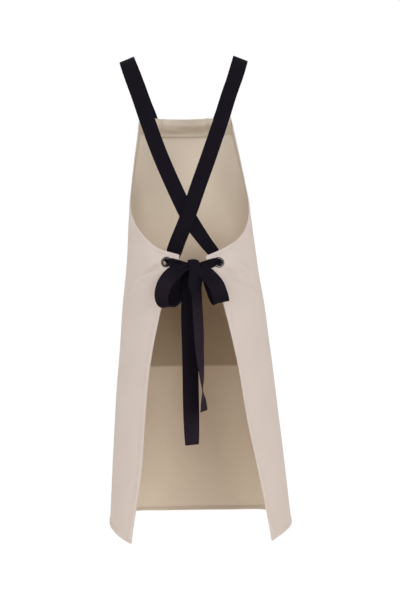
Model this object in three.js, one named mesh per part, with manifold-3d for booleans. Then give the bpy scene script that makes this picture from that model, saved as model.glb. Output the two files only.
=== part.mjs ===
// Cross-back cotton apron in the form that it has when it is worn and tied at the back.
// Millimetres, +Z up. The origin is midway between the two straps where they lie on the shoulders.
// +Y is the wearer's front, so the tied back faces -Y, and +X is the wearer's right.
import * as THREE from "three";
import { mergeVertices } from "three/addons/utils/BufferGeometryUtils.js";
import Module from "manifold-3d";

const wasm = await Module();
wasm.setup();

// Flat cut of the cloth: u runs from the centre front to a back edge, v runs down from the bib's top edge.
const HALF_WIDTH = 355;
const BIB_HALF_WIDTH = 106;
const ARMHOLE_DEPTH = 278;
const ARMHOLE_FULLNESS = 1.3;
const CORNER_TAPER = { width: 3.5, depth: 20 };
const CLOTH = 1.2;
const GAP = 0.3;

// The wearer stands with the hips a little to the right of the shoulders.
const LEAN = 0.0248;

// The form inside the cloth, a row for each level of the centre front. breadth is half the width across,
// front is how far the cloth stands ahead of the shoulders, square is 2 for an ellipse and more for a flat
// front, back is how far the form reaches behind the shoulders, or gap is half the opening between the back
// edges, droop is how much lower the back edges hang than the centre front, turn is how far the cloth has
// slipped round the form, and sway is how far the form stands to the right.
const WIDEST_Y = 4;
const LEVELS = [
  { z: -119, breadth: 136, front: 92, square: 2.0, back: 96, droop: 0, turn: 3, sway: 0 },
  { z: -190, breadth: 127, front: 111, square: 2.0, back: 96, droop: 10, turn: 3, sway: 0 },
  { z: -265, breadth: 123, front: 119, square: 2.0, back: 96, droop: 20, turn: 3, sway: 0 },
  { z: -348, breadth: 131, front: 117, square: 2.1, back: 96, droop: 26, turn: 3, sway: 0 },
  { z: -396, breadth: 134.5, front: 113, square: 2.2, gap: 28.5, droop: 28, turn: 3, sway: 0 },
  { z: -452, breadth: 139.5, front: 112, square: 2.3, gap: 50, droop: 29, turn: 2, sway: 0 },
  { z: -516, breadth: 147.8, front: 116, square: 2.4, gap: 70, droop: 30, turn: -1.5, sway: 1 },
  { z: -622, breadth: 159.5, front: 121, square: 2.6, gap: 92.5, droop: 32, turn: -4.5, sway: 2.1 },
  { z: -729, breadth: 171.2, front: 124, square: 2.8, gap: 107, droop: 34, turn: -2, sway: 0.3 },
  { z: -836, breadth: 181.5, front: 126, square: 2.9, gap: 122.8, droop: 35, turn: 2.7, sway: 0 },
  { z: -978, breadth: 193, front: 128, square: 3.0, gap: 147.5, droop: 36, turn: 1, sway: 0 },
];
const DROOP_FROM = 190;

// Places of the flat cut that hang lower than their level, or are drawn up where the drop is negative.
const SAGS = [
  { u: 0, v: 0, reach: 120, drop: -2.5 },
  { u: -304, v: 258, reach: 34, drop: 4.8 },
  { u: -352, v: 285, reach: 30, drop: -3.0 },
  { u: 268, v: 235, reach: 50, drop: 8.5 },
  { u: -335, v: 860, reach: 40, drop: 4.5 },
  { u: -245, v: 868, reach: 35, drop: -3.0 },
  { u: -140, v: 868, reach: 45, drop: -2.8 },
  { u: 0, v: 868, reach: 160, drop: -1.5 },
  { u: 135, v: 868, reach: 45, drop: -3.0 },
];

// Soft folds of the hanging cloth, each along a line in the flat cut. Depth is out from the wearer.
const FOLDS = [
  { from: [310, 306], to: [225, 392], width: 13, depth: 3.2 },
  { from: [306, 318], to: [262, 430], width: 15, depth: -2.4 },
  { from: [-310, 306], to: [-220, 380], width: 13, depth: 3.4 },
  { from: [-306, 320], to: [-258, 440], width: 15, depth: -2.6 },
  { from: [205, 250], to: [238, 470], width: 20, depth: 2.6 },
  { from: [-215, 330], to: [-250, 640], width: 26, depth: 2.4 },
  { from: [285, 470], to: [305, 860], width: 24, depth: -3.0 },
  { from: [-290, 520], to: [-300, 860], width: 26, depth: -2.6 },
  { from: [-120, 420], to: [-150, 868], width: 40, depth: -3.5 },
  { from: [130, 440], to: [165, 868], width: 42, depth: -3.5 },
];

// Bib facing: the top edge turned to the inside. The straps are sewn in behind it.
const FACING_DEPTH = 37;
const FACING = 1.0;
const FACING_INSET = 3;

// Patch pocket on the outside of the skirt's front.
const POCKET_HALF_WIDTH = 165;
const POCKET_TOP = 346;
const POCKET_DEPTH = 197.3;
const POCKET_GAP = 0.6;
const POCKET_GAPE = 2.4;

// Webbing of the straps, bow and tails.
const WEB_WIDTH = 32;
const WEB = 1.6;
const STRAP_SEWN = { u: 76, v: 12, length: 19, slant: 5.5, room: 6 };

// Metal eyelets near the two back corners.
const EYELET = { u: 334.5, v: 297, hole: 6.5, flange: 11.5, washer: 11, barrel: 1.2, crown: 1.6 };
const EYELET_SIDES = 24;
const CLOTH_HOLE = 8.3;

const clothMaterial = new THREE.MeshStandardMaterial({ color: 0xcbbcae, roughness: 0.92, metalness: 0 });
const webMaterial = new THREE.MeshStandardMaterial({ color: 0x1d191f, roughness: 0.85, metalness: 0 });
const metalMaterial = new THREE.MeshStandardMaterial({ color: 0x55534f, roughness: 0.3, metalness: 1 });

const mix = (a, b, t) => a + (b - a) * t;
const clamp = (x) => Math.min(1, Math.max(0, x));
const ease = (from, to, x) => {
  const t = clamp((x - from) / (to - from));
  return t * t * (3 - 2 * t);
};

// A smooth curve through one column of a table, with slopes from the neighbouring rows.
function through(rows, at, column, x) {
  const last = rows.length - 1;
  let i = 0;
  while (i < last - 1 && (x - rows[i + 1][at]) * (rows[last][at] - rows[0][at]) > 0) i += 1;
  const slope = (k) => {
    const [a, b] = [rows[Math.max(0, k - 1)], rows[Math.min(last, k + 1)]];
    return (b[column] - a[column]) / (b[at] - a[at]);
  };
  const [p, q] = [rows[i], rows[i + 1]];
  const span = q[at] - p[at];
  const t = clamp((x - p[at]) / span);
  const [t2, t3] = [t * t, t * t * t];
  return (
    (2 * t3 - 3 * t2 + 1) * p[column] +
    (t3 - 2 * t2 + t) * span * slope(i) +
    (3 * t2 - 2 * t3) * q[column] +
    (t3 - t2) * span * slope(i + 1)
  );
}

// Half of a level section, from the centre front (angle 0) past the side (a quarter turn) to the centre back.
const SECTION_STEPS = 72;
function sectionPoint(level, angle) {
  const power = 2 / (angle <= Math.PI / 2 ? level.square : 2);
  const across = Math.pow(Math.abs(Math.sin(angle)), power);
  const along = Math.pow(Math.abs(Math.cos(angle)), power);
  const reach = angle <= Math.PI / 2 ? level.front - WIDEST_Y : -(level.depth + WIDEST_Y);
  return [level.breadth * across, WIDEST_Y + reach * along];
}

function sectionLine(level, end) {
  const line = [{ x: 0, y: level.front, length: 0 }];
  for (let i = 1; i <= SECTION_STEPS; i += 1) {
    const [x, y] = sectionPoint(level, (end * i) / SECTION_STEPS);
    const before = line[i - 1];
    line.push({ x, y, length: before.length + Math.hypot(x - before.x, y - before.y) });
  }
  return line;
}

// How deep the form is behind the shoulders, so that the cloth's half width just reaches its back edge.
function depthForGap(level) {
  const end = Math.PI - Math.asin(level.gap / level.breadth);
  let [low, high] = [20, 240];
  for (let i = 0; i < 40; i += 1) {
    const depth = (low + high) / 2;
    const length = sectionLine({ ...level, depth }, end)[SECTION_STEPS].length;
    if (length < HALF_WIDTH) low = depth;
    else high = depth;
  }
  return (low + high) / 2;
}

// The levels with their worked-out depths, and v, the length of cloth above each one at the centre front.
const levels = LEVELS.map((level) => ({ ...level, depth: level.back ?? depthForGap(level) }));
levels.forEach((level, i) => {
  const above = levels[i - 1];
  level.v = above ? above.v + Math.hypot(level.z - above.z, level.front - above.front) : 0;
});
const LENGTH = levels[levels.length - 1].v;

function levelAt(v) {
  const level = {};
  for (const column of ["z", "breadth", "front", "square", "depth", "droop", "turn", "sway"])
    level[column] = through(levels, "v", column, v);
  return level;
}

// Half the width of the cut at v: the armhole curves from the bib's corner to the back corner.
function halfWidth(v) {
  if (v >= ARMHOLE_DEPTH) return HALF_WIDTH;
  const left = Math.sqrt(1 - Math.pow(v / ARMHOLE_DEPTH, ARMHOLE_FULLNESS));
  const taper = CORNER_TAPER.width * Math.exp(-((v / CORNER_TAPER.depth) ** 2));
  return HALF_WIDTH - (HALF_WIDTH - BIB_HALF_WIDTH) * left - taper;
}

const leaning = (x, y, z) => new THREE.Vector3(x - LEAN * z, y, z);

function sag(u, v) {
  const drops = SAGS.map((s) => s.drop * Math.exp(-((Math.hypot(u - s.u, v - s.v) / s.reach) ** 2)));
  return drops.reduce((total, drop) => total + drop, 0);
}

// A point of the flat cut wrapped round the form.
function wrap(u, v) {
  const level = levelAt(v);
  const line = sectionLine(level, Math.PI);
  const place = u - level.turn;
  const reach = Math.abs(place);
  let i = 1;
  while (i < SECTION_STEPS && line[i].length < reach) i += 1;
  const [a, b] = [line[i - 1], line[i]];
  const t = (reach - a.length) / (b.length - a.length);
  const hang = Math.max(0, (Math.abs(u) - DROOP_FROM) / (HALF_WIDTH - DROOP_FROM));
  const x = Math.sign(place) * mix(a.x, b.x, t) + level.sway;
  return leaning(x, mix(a.y, b.y, t), level.z - level.droop * hang * hang - sag(u, v));
}

const STEP = 0.5;
function outward(surface, u, v) {
  const across = surface(u + STEP, v).sub(surface(u - STEP, v));
  const down = surface(u, v + STEP).sub(surface(u, v - STEP));
  return across.cross(down).normalize();
}

// Places where a stiff piece holds the cloth flat: under the eyelets and where the straps are sewn in.
const FLATS = [-1, 1].flatMap((side) => [
  { u: side * EYELET.u, v: EYELET.v, inner: 21, outer: 33 },
  { u: side * STRAP_SEWN.u, v: STRAP_SEWN.v, inner: 24, outer: 42 },
]);
FLATS.forEach((flat) => {
  flat.centre = wrap(flat.u, flat.v);
  flat.across = wrap(flat.u + STEP, flat.v).sub(wrap(flat.u - STEP, flat.v)).divideScalar(2 * STEP);
  flat.down = wrap(flat.u, flat.v + STEP).sub(wrap(flat.u, flat.v - STEP)).divideScalar(2 * STEP);
});

function foldHeight(u, v) {
  let height = 0;
  for (const { from, to, width, depth } of FOLDS) {
    const [du, dv] = [to[0] - from[0], to[1] - from[1]];
    const along = ((u - from[0]) * du + (v - from[1]) * dv) / (du * du + dv * dv);
    const off = Math.abs((u - from[0]) * dv - (v - from[1]) * du) / Math.hypot(du, dv);
    const fade = ease(-0.15, 0.35, along) * (1 - ease(0.65, 1.15, along));
    height += depth * fade * Math.exp(-((off / width) ** 2));
  }
  return height;
}

// The middle of the cloth as worn: wrapped, flat under the stiff pieces, and folded.
function cloth(u, v) {
  const point = wrap(u, v);
  point.addScaledVector(outward(wrap, u, v), foldHeight(u, v));
  for (const flat of FLATS) {
    const far = Math.hypot(u - flat.u, v - flat.v);
    if (far > flat.outer) continue;
    const plane = flat.centre.clone();
    plane.addScaledVector(flat.across, u - flat.u).addScaledVector(flat.down, v - flat.v);
    point.lerp(plane, 1 - ease(flat.inner, flat.outer, far));
  }
  return point;
}

function onCloth(u, v, offset) {
  const facing = outward(cloth, u, v);
  return { at: cloth(u, v).addScaledVector(facing, offset), facing };
}

// A closed solid from a grid of corners: rings[i][j] runs round ring i, and both ends are capped.
function loftGeometry(rings) {
  const sides = rings[0].length;
  const points = rings.flat().flatMap((p) => [p.x, p.y, p.z]);
  const index = [];
  const id = (i, j) => i * sides + (j % sides);
  for (let i = 0; i + 1 < rings.length; i += 1)
    for (let j = 0; j < sides; j += 1)
      index.push(id(i, j), id(i, j + 1), id(i + 1, j + 1), id(i, j), id(i + 1, j + 1), id(i + 1, j));
  const last = rings.length - 1;
  for (let j = 0; 2 * j + 2 < sides; j += 1) {
    const [a, b] = [j, j + 1];
    const [c, d] = [sides - 2 - j, sides - 1 - j];
    index.push(id(0, a), id(0, c), id(0, b), id(0, a), id(0, d), id(0, c));
    index.push(id(last, a), id(last, b), id(last, c), id(last, a), id(last, c), id(last, d));
  }
  const geometry = new THREE.BufferGeometry();
  geometry.setAttribute("position", new THREE.Float32BufferAttribute(points, 3));
  geometry.setIndex(index);
  return geometry;
}

// A wall that lies on the cloth. Each row of the cut is a ring, across the outer face and back across the
// inner one.
function wallGeometry(rows, columns, widthAt, outer, inner) {
  const rings = rows.map((v) => {
    const us = columns.map((part) => part * widthAt(v));
    const front = us.map((u) => onCloth(u, v, outer(u, v)).at);
    const back = us.map((u) => onCloth(u, v, inner(u, v)).at).reverse();
    return [...front, ...back];
  });
  return loftGeometry(rings);
}

const evenly = (from, to, steps) => Array.from({ length: steps + 1 }, (_, i) => mix(from, to, i / steps));
const bothSides = (parts) => [...parts.slice(1).map((p) => -p).reverse(), ...parts];

// Boolean work: a geometry as a manifold-3d solid, and back again.
function toSolid(geometry, matrix = new THREE.Matrix4()) {
  const bare = new THREE.BufferGeometry();
  const flat = geometry.index ? geometry.toNonIndexed() : geometry;
  bare.setAttribute("position", flat.getAttribute("position").clone());
  bare.applyMatrix4(matrix);
  const merged = mergeVertices(bare, 1e-3);
  return new wasm.Manifold(
    new wasm.Mesh({
      numProp: 3,
      vertProperties: merged.attributes.position.array,
      triVerts: new Uint32Array(merged.index.array),
    }),
  );
}

function toGeometry(solid) {
  const mesh = solid.getMesh();
  const geometry = new THREE.BufferGeometry();
  geometry.setAttribute("position", new THREE.BufferAttribute(mesh.vertProperties, 3));
  geometry.setIndex(new THREE.BufferAttribute(mesh.triVerts, 1));
  return geometry;
}

const apron = new THREE.Group();
function add(name, geometry, material, at) {
  geometry.computeVertexNormals();
  const mesh = new THREE.Mesh(geometry, material.clone());
  mesh.name = name;
  if (at) mesh.applyMatrix4(at);
  apron.add(mesh);
  return mesh;
}

// Eyelets: a flange and barrel pressed over a washer, turned round the hole's axis.
const SIDES = [
  { name: "left", sign: -1 },
  { name: "right", sign: 1 },
];
function eyeletPlace(sign) {
  const { at, facing } = onCloth(sign * EYELET.u, EYELET.v, 0);
  const turn = new THREE.Quaternion().setFromUnitVectors(new THREE.Vector3(0, 1, 0), facing);
  return new THREE.Matrix4().compose(at, turn, new THREE.Vector3(1, 1, 1));
}

function eyeletGeometry() {
  const { hole, flange, washer, barrel, crown } = EYELET;
  const face = CLOTH / 2 + GAP;
  const profile = [
    [hole, -face - 0.5],
    [hole + 0.7, -face - crown * 0.65],
    [washer - 0.5, -face - crown * 0.55],
    [washer, -face],
    [hole + barrel, -face],
    [hole + barrel, face],
    [flange, face],
    [flange - 0.3, face + crown * 0.5],
    [flange - 1.8, face + crown],
    [hole + 1.2, face + crown],
    [hole, face + crown * 0.4],
    [hole, -face - 0.5],
  ];
  return new THREE.LatheGeometry(profile.map(([r, h]) => new THREE.Vector2(r, h)), EYELET_SIDES);
}

// Apron body: bib and skirt in one piece of cloth, with a hole for each eyelet.
const PATCH = 14;
const columns = bothSides([
  ...evenly(0, (EYELET.u - PATCH) / HALF_WIDTH, 21),
  (EYELET.u + PATCH) / HALF_WIDTH,
  1,
]);
const FACING_ROWS = 3;
const BIB_ROWS = 11;
const POCKET_ROWS = 5;
const SKIRT_ROWS = 8;
const POCKET_FOOT = POCKET_TOP + POCKET_DEPTH;
const facingRows = evenly(0, FACING_DEPTH, FACING_ROWS);
const bibRows = evenly(0, 1, BIB_ROWS).map((t) => mix(ARMHOLE_DEPTH, FACING_DEPTH, (1 - t) ** 2));
const pocketRows = evenly(POCKET_TOP, POCKET_FOOT, POCKET_ROWS);
const skirtRows = evenly(POCKET_FOOT, LENGTH, SKIRT_ROWS);
const bodyRows = [
  ...facingRows,
  ...bibRows.slice(1),
  EYELET.v - PATCH,
  EYELET.v + PATCH,
  ...pocketRows,
  ...skirtRows.slice(1),
];
let body = toSolid(wallGeometry(bodyRows, columns, halfWidth, () => CLOTH / 2, () => -CLOTH / 2));
for (const { sign } of SIDES) {
  const drill = new THREE.CylinderGeometry(CLOTH_HOLE, CLOTH_HOLE, 8 * CLOTH, EYELET_SIDES);
  body = body.subtract(toSolid(drill, eyeletPlace(sign)));
}
add("apron_body", toGeometry(body), clothMaterial);

for (const { name, sign } of SIDES) add(`eyelet_${name}`, eyeletGeometry(), metalMaterial, eyeletPlace(sign));

// Bib facing: it stands off by a strap's thickness at the top and comes back to the cloth at its lower edge.
const belowStraps = (v) => ease(STRAP_SEWN.length + STRAP_SEWN.room, FACING_DEPTH, v);
const facingStand = (v) => mix(WEB + 2 * GAP, GAP, belowStraps(v));
const facingOuter = (u, v) => -CLOTH / 2 - facingStand(v);
const facingInner = (u, v) => facingOuter(u, v) - FACING;
const facingWidth = (v) => halfWidth(v) - FACING_INSET;
add("bib_facing", wallGeometry(facingRows, columns, facingWidth, facingOuter, facingInner), clothMaterial);

// Front pocket: sewn at its sides and lower edge, with a mouth that gapes a little at the middle.
const pocketStand = (u, v) => {
  const middle = 1 - (u / POCKET_HALF_WIDTH) ** 2;
  return POCKET_GAP + POCKET_GAPE * middle * (1 - ease(POCKET_TOP, POCKET_TOP + 0.6 * POCKET_DEPTH, v));
};
const pocketInner = (u, v) => CLOTH / 2 + pocketStand(u, v);
const pocketOuter = (u, v) => pocketInner(u, v) + CLOTH;
const pocketColumns = columns.filter((part) => Math.abs(part) * HALF_WIDTH < POCKET_HALF_WIDTH);
const pocketGeometry = wallGeometry(pocketRows, pocketColumns, halfWidth, pocketOuter, pocketInner);
add("front_pocket", pocketGeometry, clothMaterial);

// A length of webbing lofted through stations. Each has a place, the way its face looks, a width and a
// thickness.
function webGeometry(stations, steps) {
  const curve = (values) => new THREE.CatmullRomCurve3(values, false, "catmullrom", 0.5);
  const places = curve(stations.map((s) => s.at));
  const facings = curve(stations.map((s) => s.facing));
  const sizes = curve(stations.map((s) => new THREE.Vector3(s.width, s.thick, 0)));
  const rings = evenly(0, 1, steps).map((t) => {
    const at = places.getPoint(t);
    const along = places.getTangent(t);
    const wide = along.clone().cross(facings.getPoint(t)).normalize();
    const up = wide.clone().cross(along).normalize();
    const { x: width, y: thick } = sizes.getPoint(t);
    const corner = (w, h) => at.clone().addScaledVector(wide, w * width).addScaledVector(up, h * thick);
    return [corner(-0.5, 0.5), corner(0.5, 0.5), corner(0.5, -0.5), corner(-0.5, -0.5)];
  });
  return loftGeometry(rings);
}

const station = (x, y, z, facing, width = WEB_WIDTH, thick = WEB) => ({
  at: leaning(x, y, z),
  facing: new THREE.Vector3(...facing).normalize(),
  width,
  thick,
});

// Knot of the bow: a pinched lump, a little wider than it is high.
const KNOT = { x: 4, y: -113, z: -440, wide: 17, deep: 13, high: 13, pleats: 3, pleat: 0.09 };
function knotGeometry(grow) {
  const ball = new THREE.SphereGeometry(1, 20, 12).deleteAttribute("normal").deleteAttribute("uv");
  const geometry = mergeVertices(ball);
  const position = geometry.getAttribute("position");
  const middle = leaning(KNOT.x, KNOT.y, KNOT.z);
  for (let i = 0; i < position.count; i += 1) {
    const p = new THREE.Vector3().fromBufferAttribute(position, i);
    const around = 2 * KNOT.pleats * Math.atan2(p.z, p.y) + 2 * p.x;
    const pleat = 1 + KNOT.pleat * Math.cos(around) * (1 - p.x * p.x);
    position.setXYZ(
      i,
      middle.x + p.x * (KNOT.wide + grow),
      middle.y + p.y * (KNOT.deep * pleat + grow),
      middle.z + p.z * (KNOT.high * pleat + grow),
    );
  }
  return geometry;
}
add("knot", knotGeometry(0), webMaterial);
const aroundKnot = toSolid(knotGeometry(GAP + 0.2));
const clearOfKnot = (geometry) => toGeometry(toSolid(geometry).subtract(aroundKnot));

// Straps: each is sewn to a bib corner, lies over its shoulder, crosses the back, goes in behind the other
// flap, gathers, and comes out through the eyelet to the knot. The right strap lies over the left one.
const SHOULDER = [
  { y: 63, z: -86, right: 88, left: 88, facing: [0.42, 0.8, 0.42] },
  { y: 44, z: -38, right: 104.5, left: 106.2, facing: [0.4, 0.62, 0.66] },
  { y: 21, z: -8, right: 115.5, left: 117.8, facing: [0.37, 0.3, 0.87] },
  { y: 0, z: WEB / 2, right: 119, left: 122, facing: [0.37, 0, 0.93] },
  { y: -22, z: -8, right: 117.8, left: 121, facing: [0.33, -0.36, 0.87] },
  { y: -52, z: -42, right: 107.1, left: 111, facing: [0.25, -0.76, 0.6] },
];
const BACK = [
  { y: -78, z: -86, right: 90.7, left: 96.7, facing: [0.2, -0.93, 0.28] },
  { y: -97, z: -142, right: 71.6, left: 79.7, facing: [0.1, -0.98, 0.1] },
  { y: -105, z: -208, right: 47.2, left: 58, facing: [0, -1, 0.03] },
  { y: -107, z: -275, right: 21.2, left: 31.6, facing: [0, -1, 0] },
  { y: -105, z: -343, right: -5, left: 1, facing: [0, -1, -0.05] },
  { y: -98, z: -390, right: -26, left: -29, facing: [-0.05, -0.98, -0.15] },
  { y: -87, z: -414, right: -36, left: -46, facing: [-0.28, -0.95, -0.1] },
];
const CROSSING_LIFT = { right: -2.4, left: 1.2 };
const GATHERED = { right: -45, left: -51 };

function strapStations(name, sign) {
  const sewn = [
    [STRAP_SEWN.u - STRAP_SEWN.slant / 2, STRAP_SEWN.length],
    [STRAP_SEWN.u + STRAP_SEWN.slant / 2, 1],
  ].map(([u, v]) => {
    const { at, facing } = onCloth(sign * u, v, -CLOTH / 2 - GAP - WEB / 2);
    return { at, facing, width: WEB_WIDTH, thick: WEB };
  });
  const mirrored = ([x, y, z]) => [sign * x, y, z];
  const shoulder = SHOULDER.map((s) => station(sign * s[name], s.y, s.z, mirrored(s.facing)));
  const lift = CROSSING_LIFT[name];
  const back = BACK.map((s, i) => {
    const nearCrossing = i >= 3 && i <= 4 ? 1 : 0.3;
    return station(sign * s[name], s.y + lift * nearCrossing, s.z, mirrored(s.facing));
  });
  const hole = onCloth(-sign * EYELET.u, EYELET.v, 0);
  const out = hole.facing;
  const through = (far, side, facing, width, thick) => ({
    at: hole.at.clone().addScaledVector(out, far).add(new THREE.Vector3(sign * side, 0, 0)),
    facing: new THREE.Vector3(sign * facing[0], facing[1], facing[2]).normalize(),
    width,
    thick,
  });
  const middle = leaning(KNOT.x, KNOT.y, KNOT.z);
  const toKnot = (part, forward, drop) => ({
    at: hole.at.clone().lerp(middle, part).add(new THREE.Vector3(0, forward, drop)),
    facing: new THREE.Vector3(0, 1, 0.2),
    width: 16,
    thick: 3.2,
  });
  const end = [
    station(sign * GATHERED[name], -84.5, -428, [sign * -0.25, -0.96, 0], 21, 2.4),
    through(-8, 3.5, [0.75, -0.65, 0], 11, 4.2),
    through(-3, 0.2, [0.97, -0.2, 0], 9.6, 4.6),
    through(4, 0, [0.97, 0.15, 0], 9.6, 4.6),
    through(10, 3.4, [0.7, 0.7, 0], 11, 4.4),
    toKnot(0.35, -7, 0),
    toKnot(0.7, -4.5, 0),
    toKnot(0.92, -1, 0),
  ];
  return [...sewn, ...shoulder, ...back, ...end];
}

const STRAP_STEPS = 92;
for (const { name, sign } of SIDES)
  add(`strap_${name}`, clearOfKnot(webGeometry(strapStations(name, sign), STRAP_STEPS)), webMaterial);

// Bow loops: out of the knot, down over the front, turned under and back up behind, measured from its middle.
const LOOPS = {
  left: [
    { x: -6, y: -4, z: -2, facing: [-0.1, -0.8, 0.6], width: 12, thick: 3.4 },
    { x: -24, y: -12, z: -6, facing: [-0.2, -0.75, 0.62], width: 18, thick: 2.4 },
    { x: -46, y: -19, z: -20, facing: [-0.4, -0.8, 0.45], width: 26, thick: 1.8 },
    { x: -61, y: -24, z: -42, facing: [-0.42, -0.88, 0.15], width: 31, thick: WEB },
    { x: -65, y: -23, z: -66, facing: [-0.3, -0.93, -0.15], width: WEB_WIDTH, thick: WEB },
    { x: -60, y: -16, z: -82, facing: [-0.15, -0.4, -0.9], width: WEB_WIDTH, thick: WEB },
    { x: -51, y: -6, z: -76, facing: [0.15, 0.85, -0.5], width: WEB_WIDTH, thick: WEB },
    { x: -39, y: -3, z: -54, facing: [0.25, 0.96, -0.1], width: 29, thick: 1.7 },
    { x: -24, y: 2, z: -28, facing: [0.3, 0.92, 0.1], width: 20, thick: 2.2 },
    { x: -8, y: 4, z: -10, facing: [0.3, 0.9, 0.2], width: 12, thick: 3.2 },
  ],
  right: [
    { x: 6, y: -4, z: -3, facing: [0.1, -0.8, 0.6], width: 12, thick: 3.4 },
    { x: 22, y: -12, z: -9, facing: [0.2, -0.78, 0.58], width: 19, thick: 2.4 },
    { x: 37, y: -19, z: -24, facing: [0.3, -0.86, 0.42], width: 27, thick: 1.8 },
    { x: 48, y: -24, z: -45, facing: [0.2, -0.96, 0.2], width: 31.5, thick: WEB },
    { x: 55, y: -23, z: -65, facing: [0.1, -0.99, 0], width: WEB_WIDTH, thick: WEB },
    { x: 55, y: -16, z: -78, facing: [0, -0.45, -0.9], width: WEB_WIDTH, thick: WEB },
    { x: 48, y: -6, z: -73, facing: [-0.1, 0.85, -0.5], width: WEB_WIDTH, thick: WEB },
    { x: 38, y: -3, z: -53, facing: [-0.2, 0.96, 0], width: 29, thick: 1.7 },
    { x: 24, y: 2, z: -29, facing: [-0.3, 0.92, 0.1], width: 20, thick: 2.2 },
    { x: 8, y: 4, z: -11, facing: [-0.3, 0.9, 0.2], width: 12, thick: 3.2 },
  ],
};
const LOOP_STEPS = 36;
const fromKnot = (s) => station(KNOT.x + s.x, KNOT.y + s.y, KNOT.z + s.z, s.facing, s.width, s.thick);
const asStations = (rows) => rows.map(fromKnot);
for (const { name } of SIDES)
  add(`bow_loop_${name}`, clearOfKnot(webGeometry(asStations(LOOPS[name]), LOOP_STEPS)), webMaterial);

// Tails: the free ends of the two straps, measured from the knot's middle. The short one turns edge-on.
const TAILS = {
  tail_long: [
    { x: -4, y: -2, z: -6, facing: [0, -1, 0], width: 13, thick: 3 },
    { x: -9, y: -8, z: -30, facing: [-0.1, -1, 0], width: 24, thick: 1.9 },
    { x: -12, y: -11, z: -90, facing: [-0.05, -1, 0], width: WEB_WIDTH, thick: WEB },
    { x: -12.8, y: -11, z: -184, facing: [0.05, -1, 0], width: WEB_WIDTH, thick: WEB },
    { x: -14.4, y: -11, z: -276, facing: [0.06, -1, 0], width: WEB_WIDTH, thick: WEB },
    { x: -15.1, y: -11, z: -344, facing: [0.4, -0.92, 0], width: WEB_WIDTH, thick: WEB },
    { x: -15.1, y: -11, z: -367.8, facing: [0.58, -0.81, 0], width: WEB_WIDTH, thick: WEB },
  ],
  tail_short: [
    { x: -4, y: -6, z: -7, facing: [0, -1, 0.2], width: 12, thick: 3 },
    { x: -1, y: -15, z: -30, facing: [0.3, -0.95, 0.1], width: 23, thick: 1.9 },
    { x: 1, y: -19, z: -54, facing: [0.55, -0.83, 0], width: 31, thick: WEB },
    { x: 4, y: -23, z: -90, facing: [0.78, -0.62, 0], width: WEB_WIDTH, thick: WEB },
    { x: 6.6, y: -24.5, z: -146, facing: [0.82, -0.57, 0], width: WEB_WIDTH, thick: WEB },
    { x: 8.8, y: -25, z: -210, facing: [0.94, -0.34, 0], width: WEB_WIDTH, thick: WEB },
    { x: 10.1, y: -25, z: -256, facing: [1, -0.02, 0], width: WEB_WIDTH, thick: WEB },
    { x: 11.3, y: -25, z: -277, facing: [0.97, -0.25, 0], width: WEB_WIDTH, thick: WEB },
    { x: 11.4, y: -24, z: -298, facing: [0.91, -0.42, 0], width: WEB_WIDTH, thick: WEB },
  ],
};
const TAIL_STEPS = 24;
for (const [name, rows] of Object.entries(TAILS))
  add(name, clearOfKnot(webGeometry(asStations(rows), TAIL_STEPS)), webMaterial);

export default apron;
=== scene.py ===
import math

import bpy
import numpy as np
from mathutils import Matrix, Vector


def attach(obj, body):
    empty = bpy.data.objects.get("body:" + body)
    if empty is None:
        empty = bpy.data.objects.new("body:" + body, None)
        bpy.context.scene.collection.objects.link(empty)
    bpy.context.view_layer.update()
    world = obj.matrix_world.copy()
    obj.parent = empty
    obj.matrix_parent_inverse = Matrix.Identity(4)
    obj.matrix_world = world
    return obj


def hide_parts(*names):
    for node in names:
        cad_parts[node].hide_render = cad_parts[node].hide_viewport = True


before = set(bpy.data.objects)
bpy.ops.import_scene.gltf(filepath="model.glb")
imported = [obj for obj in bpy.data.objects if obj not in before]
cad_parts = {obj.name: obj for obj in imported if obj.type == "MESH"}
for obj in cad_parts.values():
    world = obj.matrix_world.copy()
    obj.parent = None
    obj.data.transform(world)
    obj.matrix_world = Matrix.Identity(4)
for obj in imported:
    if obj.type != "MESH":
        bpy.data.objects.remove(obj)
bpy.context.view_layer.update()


# Camera: a long lens three metres behind the apron and level with its middle.
# The picture is upright and tipped by about half a degree.
PHOTO_HEIGHT = 600
FOCAL_PIXELS = 1408.5
CAMERA_PLACE = (0.028, -3.0, -0.512)
CAMERA_TIP = math.radians(0.6)

bpy.ops.object.camera_add(location=CAMERA_PLACE, rotation=(math.pi / 2, CAMERA_TIP, 0))
camera = bpy.context.object
camera.data.lens = FOCAL_PIXELS * camera.data.sensor_width / PHOTO_HEIGHT
bpy.context.scene.camera = camera


# Apron body: bib and skirt cut in one from sand-coloured cotton twill and wrapped round from the front, so
# that the two edges hang open at the back. In the flat cut u runs across from the centre front, and v runs
# down from the bib's top edge.
HALF_WIDTH = 0.355
BIB_HALF_WIDTH = 0.106
ARMHOLE_DEPTH = 0.278
ARMHOLE_FULLNESS = 1.3
CORNER_TAPER = 0.0035
CORNER_TAPER_DEPTH = 0.020
CLOTH = 0.001
LEAN = 0.0248
WIDEST_Y = 0.004
DROOP_FROM = 0.190


def named(columns, rows):
    """The rows of a table, with a name for each column."""
    return [dict(zip(columns.split(), row)) for row in rows]


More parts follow.
